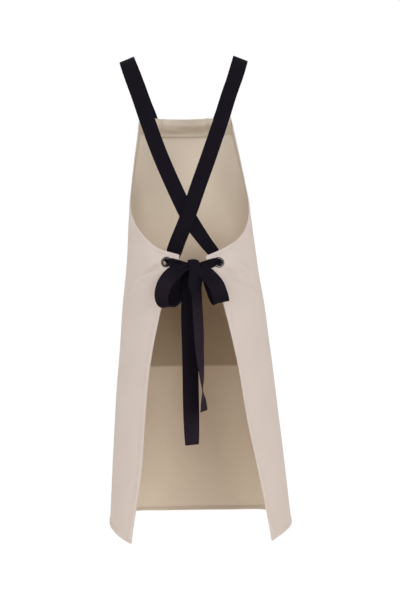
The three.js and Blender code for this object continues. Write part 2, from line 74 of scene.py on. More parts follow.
# The form that the cloth keeps at levels of the centre front: breadth is half its width, front its reach
# ahead of the origin, square 2 for an ellipse and more for a flatter front, back its reach behind the origin
# or gap half the opening between the back edges, and droop how far those edges hang below the centre front.
LEVELS = named("z breadth front square back gap droop", [
    (-0.119, 0.136, 0.092, 2.0, 0.096, None, 0.0),
    (-0.190, 0.127, 0.111, 2.0, 0.096, None, 0.010),
    (-0.265, 0.123, 0.119, 2.0, 0.096, None, 0.020),
    (-0.348, 0.131, 0.117, 2.1, 0.096, None, 0.026),
    (-0.396, 0.1345, 0.113, 2.2, None, 0.0285, 0.028),
    (-0.452, 0.1395, 0.112, 2.3, None, 0.050, 0.029),
    (-0.516, 0.1478, 0.116, 2.4, None, 0.070, 0.030),
    (-0.622, 0.1595, 0.121, 2.6, None, 0.0925, 0.032),
    (-0.729, 0.1712, 0.124, 2.8, None, 0.107, 0.034),
    (-0.836, 0.1815, 0.126, 2.9, None, 0.1228, 0.035),
    (-0.978, 0.1930, 0.128, 3.0, None, 0.1475, 0.036),
])

# How far the cloth has slipped round the form, and swayed to the right, at the same levels.
SLIPS = named("z turn sway", [
    (-0.119, 0.003, 0.0),
    (-0.265, 0.003, 0.0),
    (-0.396, 0.003, 0.0),
    (-0.452, 0.002, 0.0),
    (-0.516, -0.0015, 0.0010),
    (-0.622, -0.0045, 0.0021),
    (-0.729, -0.0020, 0.0003),
    (-0.836, 0.0027, 0.0),
    (-0.978, 0.0010, 0.0),
])

# Places of the flat cut that hang lower than their level, or are drawn up where the drop is negative.
SAGS = named("u v reach drop", [
    (0.0, 0.0, 0.120, -0.0025),
    (-0.092, 0.0, 0.030, -0.0056),
    (0.080, 0.0, 0.035, -0.0026),
    (-0.304, 0.258, 0.034, 0.0048),
    (-0.352, 0.285, 0.030, -0.0030),
    (0.268, 0.235, 0.050, 0.0085),
    (-0.335, 0.860, 0.040, 0.0045),
    (-0.245, 0.868, 0.035, -0.0030),
    (-0.140, 0.868, 0.045, -0.0028),
    (0.0, 0.868, 0.160, -0.0015),
    (0.135, 0.868, 0.045, -0.0030),
])

# Broad folds of the hanging cloth, each along a line of the flat cut, and the creases that the pull of the
# ties makes below the eyelets. Depth is outwards.
FOLD_COLUMNS = "from to width depth"
FOLDS = named(FOLD_COLUMNS, [
    ((0.205, 0.250), (0.238, 0.470), 0.020, 0.0026),
    ((-0.215, 0.330), (-0.250, 0.640), 0.026, 0.0024),
    ((0.285, 0.470), (0.305, 0.860), 0.024, -0.0030),
    ((-0.290, 0.520), (-0.300, 0.860), 0.026, -0.0026),
    ((-0.120, 0.420), (-0.150, 0.868), 0.040, -0.0035),
    ((0.130, 0.440), (0.165, 0.868), 0.042, -0.0035),
])
CREASES = named(FOLD_COLUMNS, [
    ((-0.345, 0.286), (-0.272, 0.352), 0.0062, -0.0090),
    ((-0.322, 0.296), (-0.256, 0.350), 0.0080, 0.0040),
    ((-0.297, 0.312), (-0.232, 0.384), 0.0055, -0.0050),
    ((0.347, 0.296), (0.290, 0.350), 0.0060, -0.0085),
    ((0.312, 0.298), (0.260, 0.338), 0.0080, 0.0036),
    ((0.306, 0.318), (0.244, 0.378), 0.0070, -0.0044),
])

# The cloth lies flat round each eyelet and where each strap is sewn on.
EYELET_U = 0.3345
EYELET_V = 0.297
CLOTH_HOLE = 0.0083
STRAP_SEWN_U = 0.076
STRAP_SEWN_V = 0.012
FLATS = [
    {"u": side * u, "v": v, "inner": inner, "outer": outer}
    for side in (-1, 1)
    for u, v, inner, outer in (
        (EYELET_U, EYELET_V, 0.0135, 0.022),
        (STRAP_SEWN_U, STRAP_SEWN_V, 0.024, 0.042),
    )
]


def ease(start, end, x):
    t = np.clip((x - start) / (end - start), 0, 1)
    return t * t * (3 - 2 * t)


def through(places, values, at):
    """A smooth curve through the values, straight on past both ends."""
    slopes = np.gradient(values, places)
    slopes[1:-1] = (values[2:] - values[:-2]) / (places[2:] - places[:-2])
    i = np.clip(np.searchsorted(places, at) - 1, 0, len(places) - 2)
    span = places[i + 1] - places[i]
    t = np.clip((at - places[i]) / span, 0, 1)
    inside = (
        (2 * t**3 - 3 * t**2 + 1) * values[i]
        + (t**3 - 2 * t**2 + t) * span * slopes[i]
        + (3 * t**2 - 2 * t**3) * values[i + 1]
        + (t**3 - t**2) * span * slopes[i + 1]
    )
    before = np.minimum(at - places[0], 0) * slopes[0]
    after = np.maximum(at - places[-1], 0) * slopes[-1]
    return inside + before + after


SECTION_STEPS = 540
DEPTH_LIMITS = (0.02, 0.24)
DEPTH_HALVINGS = 40


def section(level, depth, end):
    """Half a level's outline from the centre front towards the centre back, with its length so far."""
    angle = np.linspace(0, end, SECTION_STEPS + 1)
    ahead = angle <= math.pi / 2
    power = np.where(ahead, 2 / level["square"], 1.0)
    reach = np.where(ahead, level["front"] - WIDEST_Y, -depth - WIDEST_Y)
    x = level["breadth"] * np.abs(np.sin(angle)) ** power
    y = WIDEST_Y + reach * np.abs(np.cos(angle)) ** power
    length = np.concatenate([[0], np.cumsum(np.hypot(np.diff(x), np.diff(y)))])
    return x, y, length


def depth_behind(level):
    """How far a level reaches behind the origin, so that the cloth ends at the gap between the edges."""
    if level["back"] is not None:
        return level["back"]
    end = math.pi - math.asin(level["gap"] / level["breadth"])
    low, high = DEPTH_LIMITS
    for _ in range(DEPTH_HALVINGS):
        depth = (low + high) / 2
        if section(level, depth, end)[2][-1] < HALF_WIDTH:
            low = depth
        else:
            high = depth
    return (low + high) / 2


kept_columns = ("z", "breadth", "front", "square", "droop")
column = {name: np.array([level[name] for level in LEVELS]) for name in kept_columns}
column["depth"] = np.array([depth_behind(level) for level in LEVELS])
level_v = np.concatenate([[0], np.cumsum(np.hypot(np.diff(column["z"]), np.diff(column["front"])))])
LENGTH = level_v[-1]

# The worn cloth as a fine table of places over the flat cut, with a margin past its edges.
TABLE_STEP = 0.002
TABLE_END = 1.001
MARGIN = 0.006
table_u = np.arange(-HALF_WIDTH - MARGIN, HALF_WIDTH + MARGIN, TABLE_STEP)
table_v = np.arange(-MARGIN, LENGTH + MARGIN, TABLE_STEP)
worn = np.zeros((len(table_v), len(table_u), 3))
by_row = {name: through(level_v, values, table_v) for name, values in column.items()}
slip_depth = np.array([-slip["z"] for slip in SLIPS])
for name in ("turn", "sway"):
    by_row[name] = through(slip_depth, np.array([slip[name] for slip in SLIPS]), -by_row["z"])
hang = np.maximum(0, (np.abs(table_u) - DROOP_FROM) / (HALF_WIDTH - DROOP_FROM))
for i in range(len(table_v)):
    level = {name: by_row[name][i] for name in by_row}
    x, y, length = section(level, level["depth"], math.pi)
    place = table_u - level["turn"]
    worn[i, :, 2] = level["z"] - level["droop"] * hang**2
    worn[i, :, 1] = np.interp(np.abs(place), length, y)
    across = np.sign(place) * np.interp(np.abs(place), length, x)
    worn[i, :, 0] = across + level["sway"] - LEAN * worn[i, :, 2]


def out_of(surface):
    across = np.gradient(surface, axis=1)
    down = np.gradient(surface, axis=0)
    out = np.cross(across, down)
    return out / np.linalg.norm(out, axis=2, keepdims=True)


def table_at(values, u, v):
    """Reads a table over the flat cut between its grid points."""
    across = np.clip((np.asarray(u) - table_u[0]) / TABLE_STEP, 0, len(table_u) - TABLE_END)
    down = np.clip((np.asarray(v) - table_v[0]) / TABLE_STEP, 0, len(table_v) - TABLE_END)
    i, j = down.astype(int), across.astype(int)
    s, t = (down - i)[..., None], (across - j)[..., None]
    above = values[i, j] * (1 - t) + values[i, j + 1] * t
    below = values[i + 1, j] * (1 - t) + values[i + 1, j + 1] * t
    return above * (1 - s) + below * s


wide_u, wide_v = np.meshgrid(table_u, table_v)
for sag in SAGS:
    away = np.hypot(wide_u - sag["u"], wide_v - sag["v"]) / sag["reach"]
    worn[..., 2] -= sag["drop"] * np.exp(-(away**2))


FOLD_START = (-0.15, 0.35)
FOLD_END = (0.65, 1.15)


def fold_height(folds, u, v):
    """How far a table of folds lifts the places of the flat cut; each fold fades towards both its ends."""
    height = np.zeros_like(u)
    for fold in folds:
        du, dv = fold["to"][0] - fold["from"][0], fold["to"][1] - fold["from"][1]
        along = ((u - fold["from"][0]) * du + (v - fold["from"][1]) * dv) / (du * du + dv * dv)
        off = ((u - fold["from"][0]) * dv - (v - fold["from"][1]) * du) / math.hypot(du, dv)
        fade = ease(*FOLD_START, along) * (1 - ease(*FOLD_END, along))
        height += fold["depth"] * fade * np.exp(-((off / fold["width"]) ** 2))
    return height


worn += out_of(worn) * fold_height(FOLDS, wide_u, wide_v)[..., None]
smooth = worn.copy()
worn += out_of(smooth) * fold_height(CREASES, wide_u, wide_v)[..., None]
for flat in FLATS:
    u, v = flat["u"], flat["v"]
    near_u = table_at(smooth, u + TABLE_STEP, v) - table_at(smooth, u - TABLE_STEP, v)
    near_v = table_at(smooth, u, v + TABLE_STEP) - table_at(smooth, u, v - TABLE_STEP)
    off_u = (wide_u - u)[..., None]
    off_v = (wide_v - v)[..., None]
    plane = table_at(smooth, u, v) + (near_u * off_u + near_v * off_v) / (2 * TABLE_STEP)
    held = 1 - ease(flat["inner"], flat["outer"], np.hypot(off_u, off_v))
    worn = worn * (1 - held) + plane * held
worn_out = out_of(worn)


def on_cloth(u, v, offset):
    """Places on the worn cloth, offset outwards from the middle of its thickness."""
    return table_at(worn, u, v) + table_at(worn_out, u, v) * np.asarray(offset)[..., None]


def half_width(v):
    part = np.clip(v / ARMHOLE_DEPTH, 0, 1) ** ARMHOLE_FULLNESS
    taper = CORNER_TAPER * np.exp(-((v / CORNER_TAPER_DEPTH) ** 2))
    return HALF_WIDTH - (HALF_WIDTH - BIB_HALF_WIDTH) * np.sqrt(1 - part) - taper


def new_sheet(name, places, cut):
    """A grid with its corners moved to the places, and the flat cut in metres as its UV map."""
    rows, columns = places.shape[:2]
    bpy.ops.mesh.primitive_grid_add(x_subdivisions=columns - 1, y_subdivisions=rows - 1, size=2)
    piece = bpy.context.object
    piece.name = name
    piece.data.name = name
    mesh = piece.data
    grid = np.empty(len(mesh.vertices) * 3)
    mesh.vertices.foreach_get("co", grid)
    grid = grid.reshape(-1, 3)
    j = np.rint((grid[:, 0] + 1) / 2 * (columns - 1)).astype(int)
    i = np.rint((grid[:, 1] + 1) / 2 * (rows - 1)).astype(int)
    mesh.vertices.foreach_set("co", places[i, j].ravel())
    loops = np.empty(len(mesh.loops), dtype=np.int32)
    mesh.loops.foreach_get("vertex_index", loops)
    layer = mesh.uv_layers.active
    layer.name = "cut"
    layer.data.foreach_set("uv", cut[i, j][loops].ravel())
    mesh.update()
    return piece


def pick(piece):
    bpy.ops.object.select_all(action="DESELECT")
    bpy.context.view_layer.objects.active = piece
    piece.select_set(True)


def use_modifier(piece, kind, **settings):
    pick(piece)
    modifier = piece.modifiers.new(kind.title(), kind)
    for name, value in settings.items():
        setattr(modifier, name, value)
    bpy.ops.object.modifier_apply(modifier=modifier.name)


SMOOTH_BELOW = math.radians(50)


def smooth_shade(piece):
    pick(piece)
    bpy.ops.object.shade_smooth_by_angle(angle=SMOOTH_BELOW)


class Value:
    """A socket that can stand in sums, each of which adds a Math node."""

    def __init__(self, finish, socket):
        self.finish = finish
        self.socket = socket

    def maths(self, operation, first, second):
        return self.finish.node("ShaderNodeMath", {"operation": operation}, {0: first, 1: second})

    def __add__(self, other):
        return self.maths("ADD", self, other)

    def __radd__(self, other):
        return self.maths("ADD", other, self)

    def __sub__(self, other):
        return self.maths("SUBTRACT", self, other)

    def __rsub__(self, other):
        return self.maths("SUBTRACT", other, self)

    def __mul__(self, other):
        return self.maths("MULTIPLY", self, other)

    def __rmul__(self, other):
        return self.maths("MULTIPLY", other, self)


# Sockets of a Mix node that blends colours, which share their names with those for its other kinds.
MIX_PART = 0
MIX_FIRST = 6
MIX_SECOND = 7
MIX_RESULT = 2


class Finish:
    """A material with one Principled surface, built node by node."""

    def __init__(self, name, **constants):
        self.material = bpy.data.materials.new(name)
        self.material.use_nodes = True
        self.nodes = self.material.node_tree.nodes
        self.links = self.material.node_tree.links
        self.surface = self.nodes["Principled BSDF"]
        for socket, value in constants.items():
            self.surface.inputs[socket.replace("_", " ")].default_value = value

    def node(self, kind, settings, sockets, output=0):
        made = self.nodes.new(kind)
        for name, value in settings.items():
            setattr(made, name, value)
        for key, value in sockets.items():
            self.feed(made.inputs[key], value)
        return Value(self, made.outputs[output])

    def feed(self, socket, value):
        if isinstance(value, Value):
            self.links.new(value.socket, socket)
        else:
            socket.default_value = value

    def sine(self, value):
        return self.node("ShaderNodeMath", {"operation": "SINE"}, {0: value})

    def cut(self):
        """The two measures of the flat cut, in metres."""
        flat = self.node("ShaderNodeUVMap", {"uv_map": "cut"}, {})
        parts = self.node("ShaderNodeSeparateXYZ", {}, {0: flat})
        return parts, Value(self, parts.socket.node.outputs[1]), flat

    def place(self):
        """Object coordinates, in metres."""
        return self.node("ShaderNodeTexCoord", {}, {}, "Object")

    def attribute(self, name):
        return self.node("ShaderNodeAttribute", {"attribute_name": name}, {}, "Fac")

    def stretch(self, place, scale):
        return self.node("ShaderNodeMapping", {}, {"Vector": place, "Scale": scale})

    def noise(self, place, scale, detail):
        return self.node("ShaderNodeTexNoise", {}, {"Vector": place, "Scale": scale, "Detail": detail})

    def blend(self, part, first, second, kind="MIX"):
        settings = {"data_type": "RGBA", "blend_type": kind}
        sockets = {MIX_PART: part, MIX_FIRST: first, MIX_SECOND: second}
        return self.node("ShaderNodeMix", settings, sockets, MIX_RESULT)

    def bump(self, height, distance, strength):
        return self.node("ShaderNodeBump", {}, {"Height": height, "Distance": distance, "Strength": strength})

    def show(self, colour, roughness, normal):
        for socket, value in (("Base Color", colour), ("Roughness", roughness), ("Normal", normal)):
            self.feed(self.surface.inputs[socket], value)

    def on(self, piece):
        piece.data.materials.clear()
        piece.data.materials.append(self.material)


COTTON_LIGHT = (0.712, 0.578, 0.468, 1)
COTTON_DARK = (0.633, 0.508, 0.407, 1)
INSIDE_LIGHT = (0.777, 0.629, 0.466, 1)
INSIDE_DARK = (0.686, 0.551, 0.402, 1)
# Painted shade: the tint that darkens cloth where it is doubled, as less light shines through two layers.
PAINTED_DOUBLED_SHADE = (0.616, 0.570, 0.520, 1)
YARN = 0.0007
TWILL = 0.0014
SLUB_ACROSS = (40, 1400, 1)
SLUB_DOWN = (1400, 40, 1)


def cotton_finish(name, light, dark):
    """Cotton twill: fine diagonal ribs, uneven yarns and soft, cloudy changes of tone."""
    finish = Finish(name, Sheen_Weight=0.18, Sheen_Roughness=0.5, Specular_IOR_Level=0.2)
    u, v, flat = finish.cut()
    rib = finish.sine((u + v) * (2 * math.pi / TWILL))
    yarns = finish.sine(u * (2 * math.pi / YARN)) * finish.sine(v * (2 * math.pi / YARN))
    across = finish.stretch(flat, SLUB_ACROSS)
    down = finish.stretch(flat, SLUB_DOWN)
    slub = finish.noise(across, 1.0, 2.0) + finish.noise(down, 1.0, 2.0)
    cloud = finish.noise(flat, 14.0, 3.0)
    tone = cloud * 0.7 + slub * 0.35 + rib * 0.06 - 0.2
    height = rib * 0.5 + yarns * 0.25 + slub * 0.45
    finish.show(finish.blend(tone, dark, light), 0.86 + slub * 0.06, finish.bump(height, 0.0002, 0.5))
    return finish


BODY_COLUMNS = 200
BODY_ROWS = 206
ARMHOLE_STEPS = 400
HOLE_STEPS = 120
TRIM_REACH = 0.005
EVEN_REACH = 0.011
EDGE_SLACK = TRIM_REACH / 10
across_body = np.linspace(-HALF_WIDTH, HALF_WIDTH, BODY_COLUMNS + 1)
down_body = np.linspace(0, LENGTH, BODY_ROWS + 1)
body_cut = np.stack(np.meshgrid(across_body, down_body), axis=2)
laid_flat = np.concatenate([body_cut, np.zeros_like(body_cut[..., :1])], axis=2)
apron_body = new_sheet("apron_cloth", laid_flat, body_cut)


def armhole_line(side):
    turn = np.linspace(0, math.pi / 2, ARMHOLE_STEPS)
    v = ARMHOLE_DEPTH * np.sin(turn) ** (2 / ARMHOLE_FULLNESS)
    return np.stack([side * half_width(v), v], axis=1)


def hole_line(side):
    turn = np.linspace(0, 2 * math.pi, HOLE_STEPS)
    u = side * EYELET_U + CLOTH_HOLE * np.cos(turn)
    v = EYELET_V + CLOTH_HOLE * np.sin(turn)
    return np.stack([u, v], axis=1)


def flat_places(piece):
    places = np.empty(len(piece.data.vertices) * 3)
    piece.data.vertices.foreach_get("co", places)
    return places.reshape(-1, 3)


def is_cut_away(middle):
    in_hole = math.hypot(abs(middle.x) - EYELET_U, middle.y - EYELET_V) < CLOTH_HOLE
    return in_hole or abs(middle.x) > half_width(middle.y)


def select_only(parts, chosen):
    parts.foreach_set("select", np.asarray(chosen, dtype=bool))


# The grid's faces outside the cut are deleted, its new edge is moved onto the cut, and the faces beside it
# even out. Then the flat cut is put in its worn place.
for parts in (apron_body.data.vertices, apron_body.data.edges):
    select_only(parts, np.zeros(len(parts)))
select_only(apron_body.data.polygons, [is_cut_away(face.center) for face in apron_body.data.polygons])
bpy.ops.object.mode_set(mode="EDIT")
bpy.ops.mesh.select_mode(type="FACE")
bpy.ops.mesh.delete(type="FACE")
bpy.ops.mesh.select_mode(type="VERT")
bpy.ops.mesh.select_all(action="DESELECT")
bpy.ops.mesh.select_non_manifold(extend=False)
bpy.ops.object.mode_set(mode="OBJECT")
flat = flat_places(apron_body)
on_edge = np.empty(len(flat), dtype=bool)
apron_body.data.vertices.foreach_get("select", on_edge)
on_side = (np.abs(flat[:, 0]) > HALF_WIDTH - EDGE_SLACK) & (flat[:, 1] > ARMHOLE_DEPTH)
on_cut = on_edge & ~on_side & (flat[:, 1] > EDGE_SLACK)
near_cut = np.zeros(len(flat), dtype=bool)
for line in (armhole_line(-1), armhole_line(1), hole_line(-1), hole_line(1)):
    gaps = np.linalg.norm(flat[:, None, :2] - line[None, :, :], axis=2)
    nearest = gaps.argmin(axis=1)
    snapped = on_cut & (gaps.min(axis=1) < TRIM_REACH)
    flat[snapped, :2] = line[nearest[snapped]]
    near_cut |= gaps.min(axis=1) < EVEN_REACH
apron_body.data.vertices.foreach_set("co", flat.ravel())
for parts in (apron_body.data.edges, apron_body.data.polygons):
    select_only(parts, np.zeros(len(parts)))
select_only(apron_body.data.vertices, near_cut & ~on_edge)
bpy.ops.object.mode_set(mode="EDIT")
bpy.ops.mesh.vertices_smooth(factor=0.5, repeat=6)
bpy.ops.object.mode_set(mode="OBJECT")
body_flat = flat_places(apron_body)
body_corners = np.empty(len(apron_body.data.loops), dtype=np.int32)
apron_body.data.loops.foreach_get("vertex_index", body_corners)
apron_body.data.uv_layers["cut"].data.foreach_set("uv", body_flat[body_corners, :2].ravel())
worn_body = on_cloth(body_flat[:, 0], body_flat[:, 1], np.zeros(len(body_flat)))
apron_body.data.vertices.foreach_set("co", worn_body.ravel())
apron_body.data.update()

# Inside the skirt, shade is painted into the cloth's colour where the pocket behind it doubles the cloth:
# darker, as less light shines through two layers.
POCKET_HALF_WIDTH = 0.149
POCKET_TOP = 0.346
POCKET_FOOT = 0.5433
POCKET_SHADE_MARGIN = 0.012
painted_pocket_shade = np.abs(body_flat[:, 0]) < POCKET_HALF_WIDTH + POCKET_SHADE_MARGIN
painted_pocket_shade &= (body_flat[:, 1] > POCKET_TOP) & (body_flat[:, 1] < POCKET_FOOT)


def set_attribute(piece, name, values):
    made = piece.data.attributes.new(name, "FLOAT", "POINT")
    made.data.foreach_set("value", np.asarray(values, dtype=float).ravel())


set_attribute(apron_body, "doubled_cloth_shade", painted_pocket_shade)
cotton = cotton_finish("cotton_twill", COTTON_LIGHT, COTTON_DARK)
inside_cotton = cotton_finish("cotton_twill_inside", INSIDE_LIGHT, INSIDE_DARK)
# The inside cotton multiplies its colour by the painted shade of doubled cloth, set per point by an
# attribute.
base_colour = inside_cotton.surface.inputs["Base Color"]
plain_colour = Value(inside_cotton, base_colour.links[0].from_socket)
shade = inside_cotton.blend(inside_cotton.attribute("doubled_cloth_shade"), (1, 1, 1, 1), PAINTED_DOUBLED_SHADE)
inside_cotton.feed(base_colour, inside_cotton.blend(1.0, plain_colour, shade, "MULTIPLY"))
apron_body.data.materials.append(cotton.material)
apron_body.data.materials.append(inside_cotton.material)
use_modifier(apron_body, "SOLIDIFY", thickness=CLOTH, offset=0, material_offset=1)
smooth_shade(apron_body)
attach(apron_body, "root")
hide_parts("apron_body")


# Hems: the armhole, back and bottom edges are turned to the inside and sewn down, so each is a narrow band of
# the same cotton with a rolled edge.
HEM_CLOTH = 0.0006
ARMHOLE_HEM = 0.007
BACK_HEM = 0.008
BOTTOM_HEM = 0.0075
HEM_STEP = 0.004
# Painted shade on the inside face of each hem, where the turned edge doubles the cloth.
HEM_PAINTED_SHADE = 0.45
HEM_GAP = 0.0002
HEM_STAND = CLOTH / 2 + HEM_CLOTH / 2 + HEM_GAP
HEM_LAP = (0.008, 0.016)
HEM_LAP_LIFT = 0.0008

# Section of a hem: across is in hem widths from the edge, beyond is how far past the edge, and stand is how
# far off the cloth, outwards positive.
HEM_SECTION = named("across beyond stand", [
    (1.0, 0.0, 0.0001 - HEM_STAND),
    (0.8, 0.0, -0.0001 - HEM_STAND),
    (0.5, 0.0, -0.0002 - HEM_STAND),
    (0.2, 0.0, -0.0001 - HEM_STAND),
    (0.0, 0.0, -HEM_STAND),
    (0.0, 0.0006, -0.7 * HEM_STAND),
    (0.0, 0.0010, 0.0),
    (0.0, 0.0008, 0.6 * HEM_STAND),
    (0.0, 0.0, HEM_STAND),
    (0.2, 0.0, 0.0002 + HEM_STAND),
    (0.5, 0.0, 0.0003 + HEM_STAND),
    (0.8, 0.0, HEM_STAND),
    (0.9, 0.0, HEM_STAND - 0.0002),
    (1.0, 0.0, HEM_STAND - 0.0006),
])


def evenly_spaced(points, step):
    """Points along a line in the flat cut at even steps, with the direction to its left."""
    run = np.concatenate([[0], np.cumsum(np.linalg.norm(np.diff(points, axis=0), axis=1))])
    at = np.linspace(0, run[-1], max(2, round(run[-1] / step)) + 1)
    line = np.stack([np.interp(at, run, points[:, k]) for k in (0, 1)], axis=1)
    ahead = np.gradient(line, axis=0)
    ahead /= np.linalg.norm(ahead, axis=1, keepdims=True)
    return line, np.stack([ahead[:, 1], -ahead[:, 0]], axis=1), at


def hem_band(name, points, inward_sign, width, lap_lift):
    """A turned edge: along the inside, round the fold, and a little puffed outside, up to its stitches."""
    line, left, at = evenly_spaced(points, HEM_STEP)
    inward = left * inward_sign
    across = np.array([width * row["across"] - row["beyond"] for row in HEM_SECTION])
    stand = np.array([row["stand"] for row in HEM_SECTION])
    ends = np.minimum(at, at[-1] - at)
    lift = lap_lift * (1 - ease(*HEM_LAP, ends))
    flat = line[:, None, :] + inward[:, None, :] * across[None, :, None]
    offset = stand[None, :] + lift[:, None] * np.sign(stand)[None, :]
    band = new_sheet(name, on_cloth(flat[..., 0], flat[..., 1], offset), flat)
    cotton.on(band)
    band.data.materials.append(inside_cotton.material)
    inner_strips = sum(row["beyond"] == 0 and row["stand"] < 0 for row in HEM_SECTION) - 1
    strip = np.arange(len(band.data.polygons)) % (len(HEM_SECTION) - 1)
    band.data.polygons.foreach_set("material_index", (strip < inner_strips).astype(np.int32))
    # Painted shade: the hem's inside face is darkened as doubled cloth.
    set_attribute(band, "doubled_cloth_shade", np.full(len(band.data.vertices), HEM_PAINTED_SHADE))
    use_modifier(band, "SOLIDIFY", thickness=HEM_CLOTH, offset=0)
    smooth_shade(band)
    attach(band, "root")
    return band


for name, side in (("left", -1), ("right", 1)):
    hem_band(f"hem_armhole_{name}", armhole_line(side), -side, ARMHOLE_HEM, 0.0)
    back_line = np.array([[side * HALF_WIDTH, ARMHOLE_DEPTH], [side * HALF_WIDTH, LENGTH]])
    hem_band(f"hem_back_{name}", back_line, -side, BACK_HEM, HEM_LAP_LIFT)
bottom_line = np.array([[-HALF_WIDTH, LENGTH], [HALF_WIDTH, LENGTH]])
hem_band("hem_bottom", bottom_line, 1, BOTTOM_HEM, 0.0)


# Stitches of the hems: cotton thread in even lockstitch, a row on each face. One stitch is a round length of
# thread drawn thin at both ends, and a row is its copies joined.
STITCH_PITCH = 0.0033
STITCH_SIZE = np.array([0.0007, 0.0006, 0.0027])
STITCH_TAPER = 0.4
STITCH_INSET = 0.84
THREAD_DARK = (0.56, 0.49, 0.43, 1)
THREAD_LIGHT = (0.70, 0.62, 0.56, 1)
thread = Finish("sewing_thread", Sheen_Weight=0.1, Specular_IOR_Level=0.25)
thread_tone = thread.noise(thread.place(), 900.0, 2.0)
thread_colour = thread.blend(thread_tone, THREAD_DARK, THREAD_LIGHT)
thread.show(thread_colour, 0.70 + thread_tone * 0.2, thread.bump(thread_tone, 0.0002, 0.4))

bpy.ops.mesh.primitive_uv_sphere_add(segments=6, ring_count=6, radius=0.5)
one_stitch = bpy.context.object
stitch_places = flat_places(one_stitch)
stitch_places[:, :2] *= 1 - np.abs(stitch_places[:, 2:]) * STITCH_TAPER
stitch_faces = [list(face.vertices) for face in one_stitch.data.polygons]
pick(one_stitch)
bpy.ops.object.delete()


def inset_line(points, inward_sign, inset):
    line, left, _ = evenly_spaced(points, STITCH_PITCH)
    return line + left * inward_sign * inset


def sewn_rows(name, rows):
    """Stitches along lines of the flat cut, each row a line and how far its thread stands off the cloth."""
    places = []
    for points, stand in rows:
        line = evenly_spaced(points, STITCH_PITCH)[0]
        middle = on_cloth(line[:, 0], line[:, 1], np.broadcast_to(stand, len(line)))
        out = table_at(worn_out, line[:, 0], line[:, 1])
        along = np.gradient(middle, axis=0)
        along /= np.linalg.norm(along, axis=1, keepdims=True)
        frame_of = np.stack([np.cross(out, along), out, along], axis=1)
        places.append(middle[:, None, :] + (stitch_places * STITCH_SIZE)[None] @ frame_of)
    places = np.concatenate(places)
    starts = len(stitch_places) * np.arange(len(places))
    faces = [[int(start) + k for k in face] for start in starts for face in stitch_faces]
    mesh = bpy.data.meshes.new(name)
    mesh.from_pydata(places.reshape(-1, 3).tolist(), [], faces)
    piece = bpy.data.objects.new(name, mesh)
    bpy.context.collection.objects.link(piece)
    smooth_shade(piece)
    thread.on(piece)
    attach(piece, "root")


def on_both_faces(*seams):
    return [(seam, face * (HEM_STAND + HEM_CLOTH / 2)) for seam in seams for face in (-1, 1)]


for name, side in (("left", -1), ("right", 1)):
    armhole_seam = inset_line(armhole_line(side), -side, STITCH_INSET * ARMHOLE_HEM)
    back_edge = side * HALF_WIDTH
    back_ends = [[back_edge, ARMHOLE_DEPTH + ARMHOLE_HEM], [back_edge, LENGTH - BOTTOM_HEM]]
    back_seam = inset_line(np.array(back_ends), -side, STITCH_INSET * BACK_HEM)
    sewn_rows(f"stitches_{name}", on_both_faces(armhole_seam, back_seam))
bottom_seam = inset_line(bottom_line, 1, STITCH_INSET * BOTTOM_HEM)
sewn_rows("stitches_bottom", on_both_faces(bottom_seam))


# Bib facing: the top of the bib folded over to the inside, 37 mm deep, and sewn across near its lower edge,
# with the strap ends caught behind it. It is the same cotton, a little rumpled, with a loose lower edge, and
# shade is painted into its colour below the fold, darker downwards, where it doubles the cloth.
FACING_DEPTH = 0.037
FACING_TOP = 0.0012
FACING_CLOTH = 0.0009
FACING_INSET = 0.0002
FACING_GAP = 0.0004
# Painted shade of the doubled facing, ramping in over its upper part.
FACING_PAINTED_SHADE = 0.55
FACING_SHADE_RAMP = (0.004, 0.018)
FACING_SEAM = 0.004
FACING_FLARE = 0.0030
FLARE_SEAMS = 1.6
STRAP_ROOM = 0.0022
STRAP_HALF_ROOM = 0.0195
STRAP_ROOM_SIDE = 0.006
STRAP_ROOM_FOOT = (0.65, 0.9)
RUMPLED_TOP = (0.0, 0.008)
RUMPLED_FOOT = (0.55, 0.9)
FOLD_ENDS = (STRAP_SEWN_U - 0.028, STRAP_SEWN_U - 0.021)
FOLD_STEP = 0.0002
FACING_COLUMNS = 110
FACING_ROWS = 26
RUMPLES = named(FOLD_COLUMNS, [
    ((-0.075, 0.010), (0.115, 0.010), 0.0125, 0.0078),
    ((-0.080, 0.016), (0.005, 0.030), 0.0060, 0.0026),
    ((-0.015, 0.008), (0.040, 0.014), 0.0050, 0.0010),
])
# The fold over the top edge: v down the cut and stand off the cloth, outwards positive.
FACING_FOLD = named("v stand", [
    (0.0030, CLOTH / 2 + FACING_CLOTH / 2),
    (0.0004, CLOTH / 2 + FACING_CLOTH / 2 + 0.0002),
    (-0.0008, 0.0006),
    (-0.0010, -0.0006),
])
facing_v = np.linspace(FACING_TOP, FACING_DEPTH, FACING_ROWS + 1)
facing_u = np.linspace(-1, 1, FACING_COLUMNS + 1)[None, :] * (half_width(facing_v) - FACING_INSET)[:, None]
facing_down = np.broadcast_to(facing_v[:, None], facing_u.shape)
facing_part = facing_down / FACING_DEPTH
past_strap = np.abs(np.abs(facing_u) - STRAP_SEWN_U) - STRAP_HALF_ROOM
room = STRAP_ROOM * (1 - ease(0.0, STRAP_ROOM_SIDE, past_strap)) * (1 - ease(*STRAP_ROOM_FOOT, facing_part))
flare = FACING_FLARE * ease(FACING_DEPTH - FLARE_SEAMS * FACING_SEAM, FACING_DEPTH, facing_down)
flare *= 1 - ease(STRAP_SEWN_U, STRAP_SEWN_U + STRAP_HALF_ROOM, np.abs(facing_u))
rumpled = fold_height(RUMPLES, facing_u, facing_down)
rumpled *= ease(*RUMPLED_TOP, facing_down) * (1 - ease(*RUMPLED_FOOT, facing_part))
facing_stand = -CLOTH / 2 - FACING_CLOTH / 2 - FACING_GAP - room - flare - rumpled
between_straps = 1 - ease(*FOLD_ENDS, np.abs(facing_u[:1]))
beside_straps = 1 - between_straps
fold_u = np.broadcast_to(facing_u[:1], (len(FACING_FOLD), FACING_COLUMNS + 1))
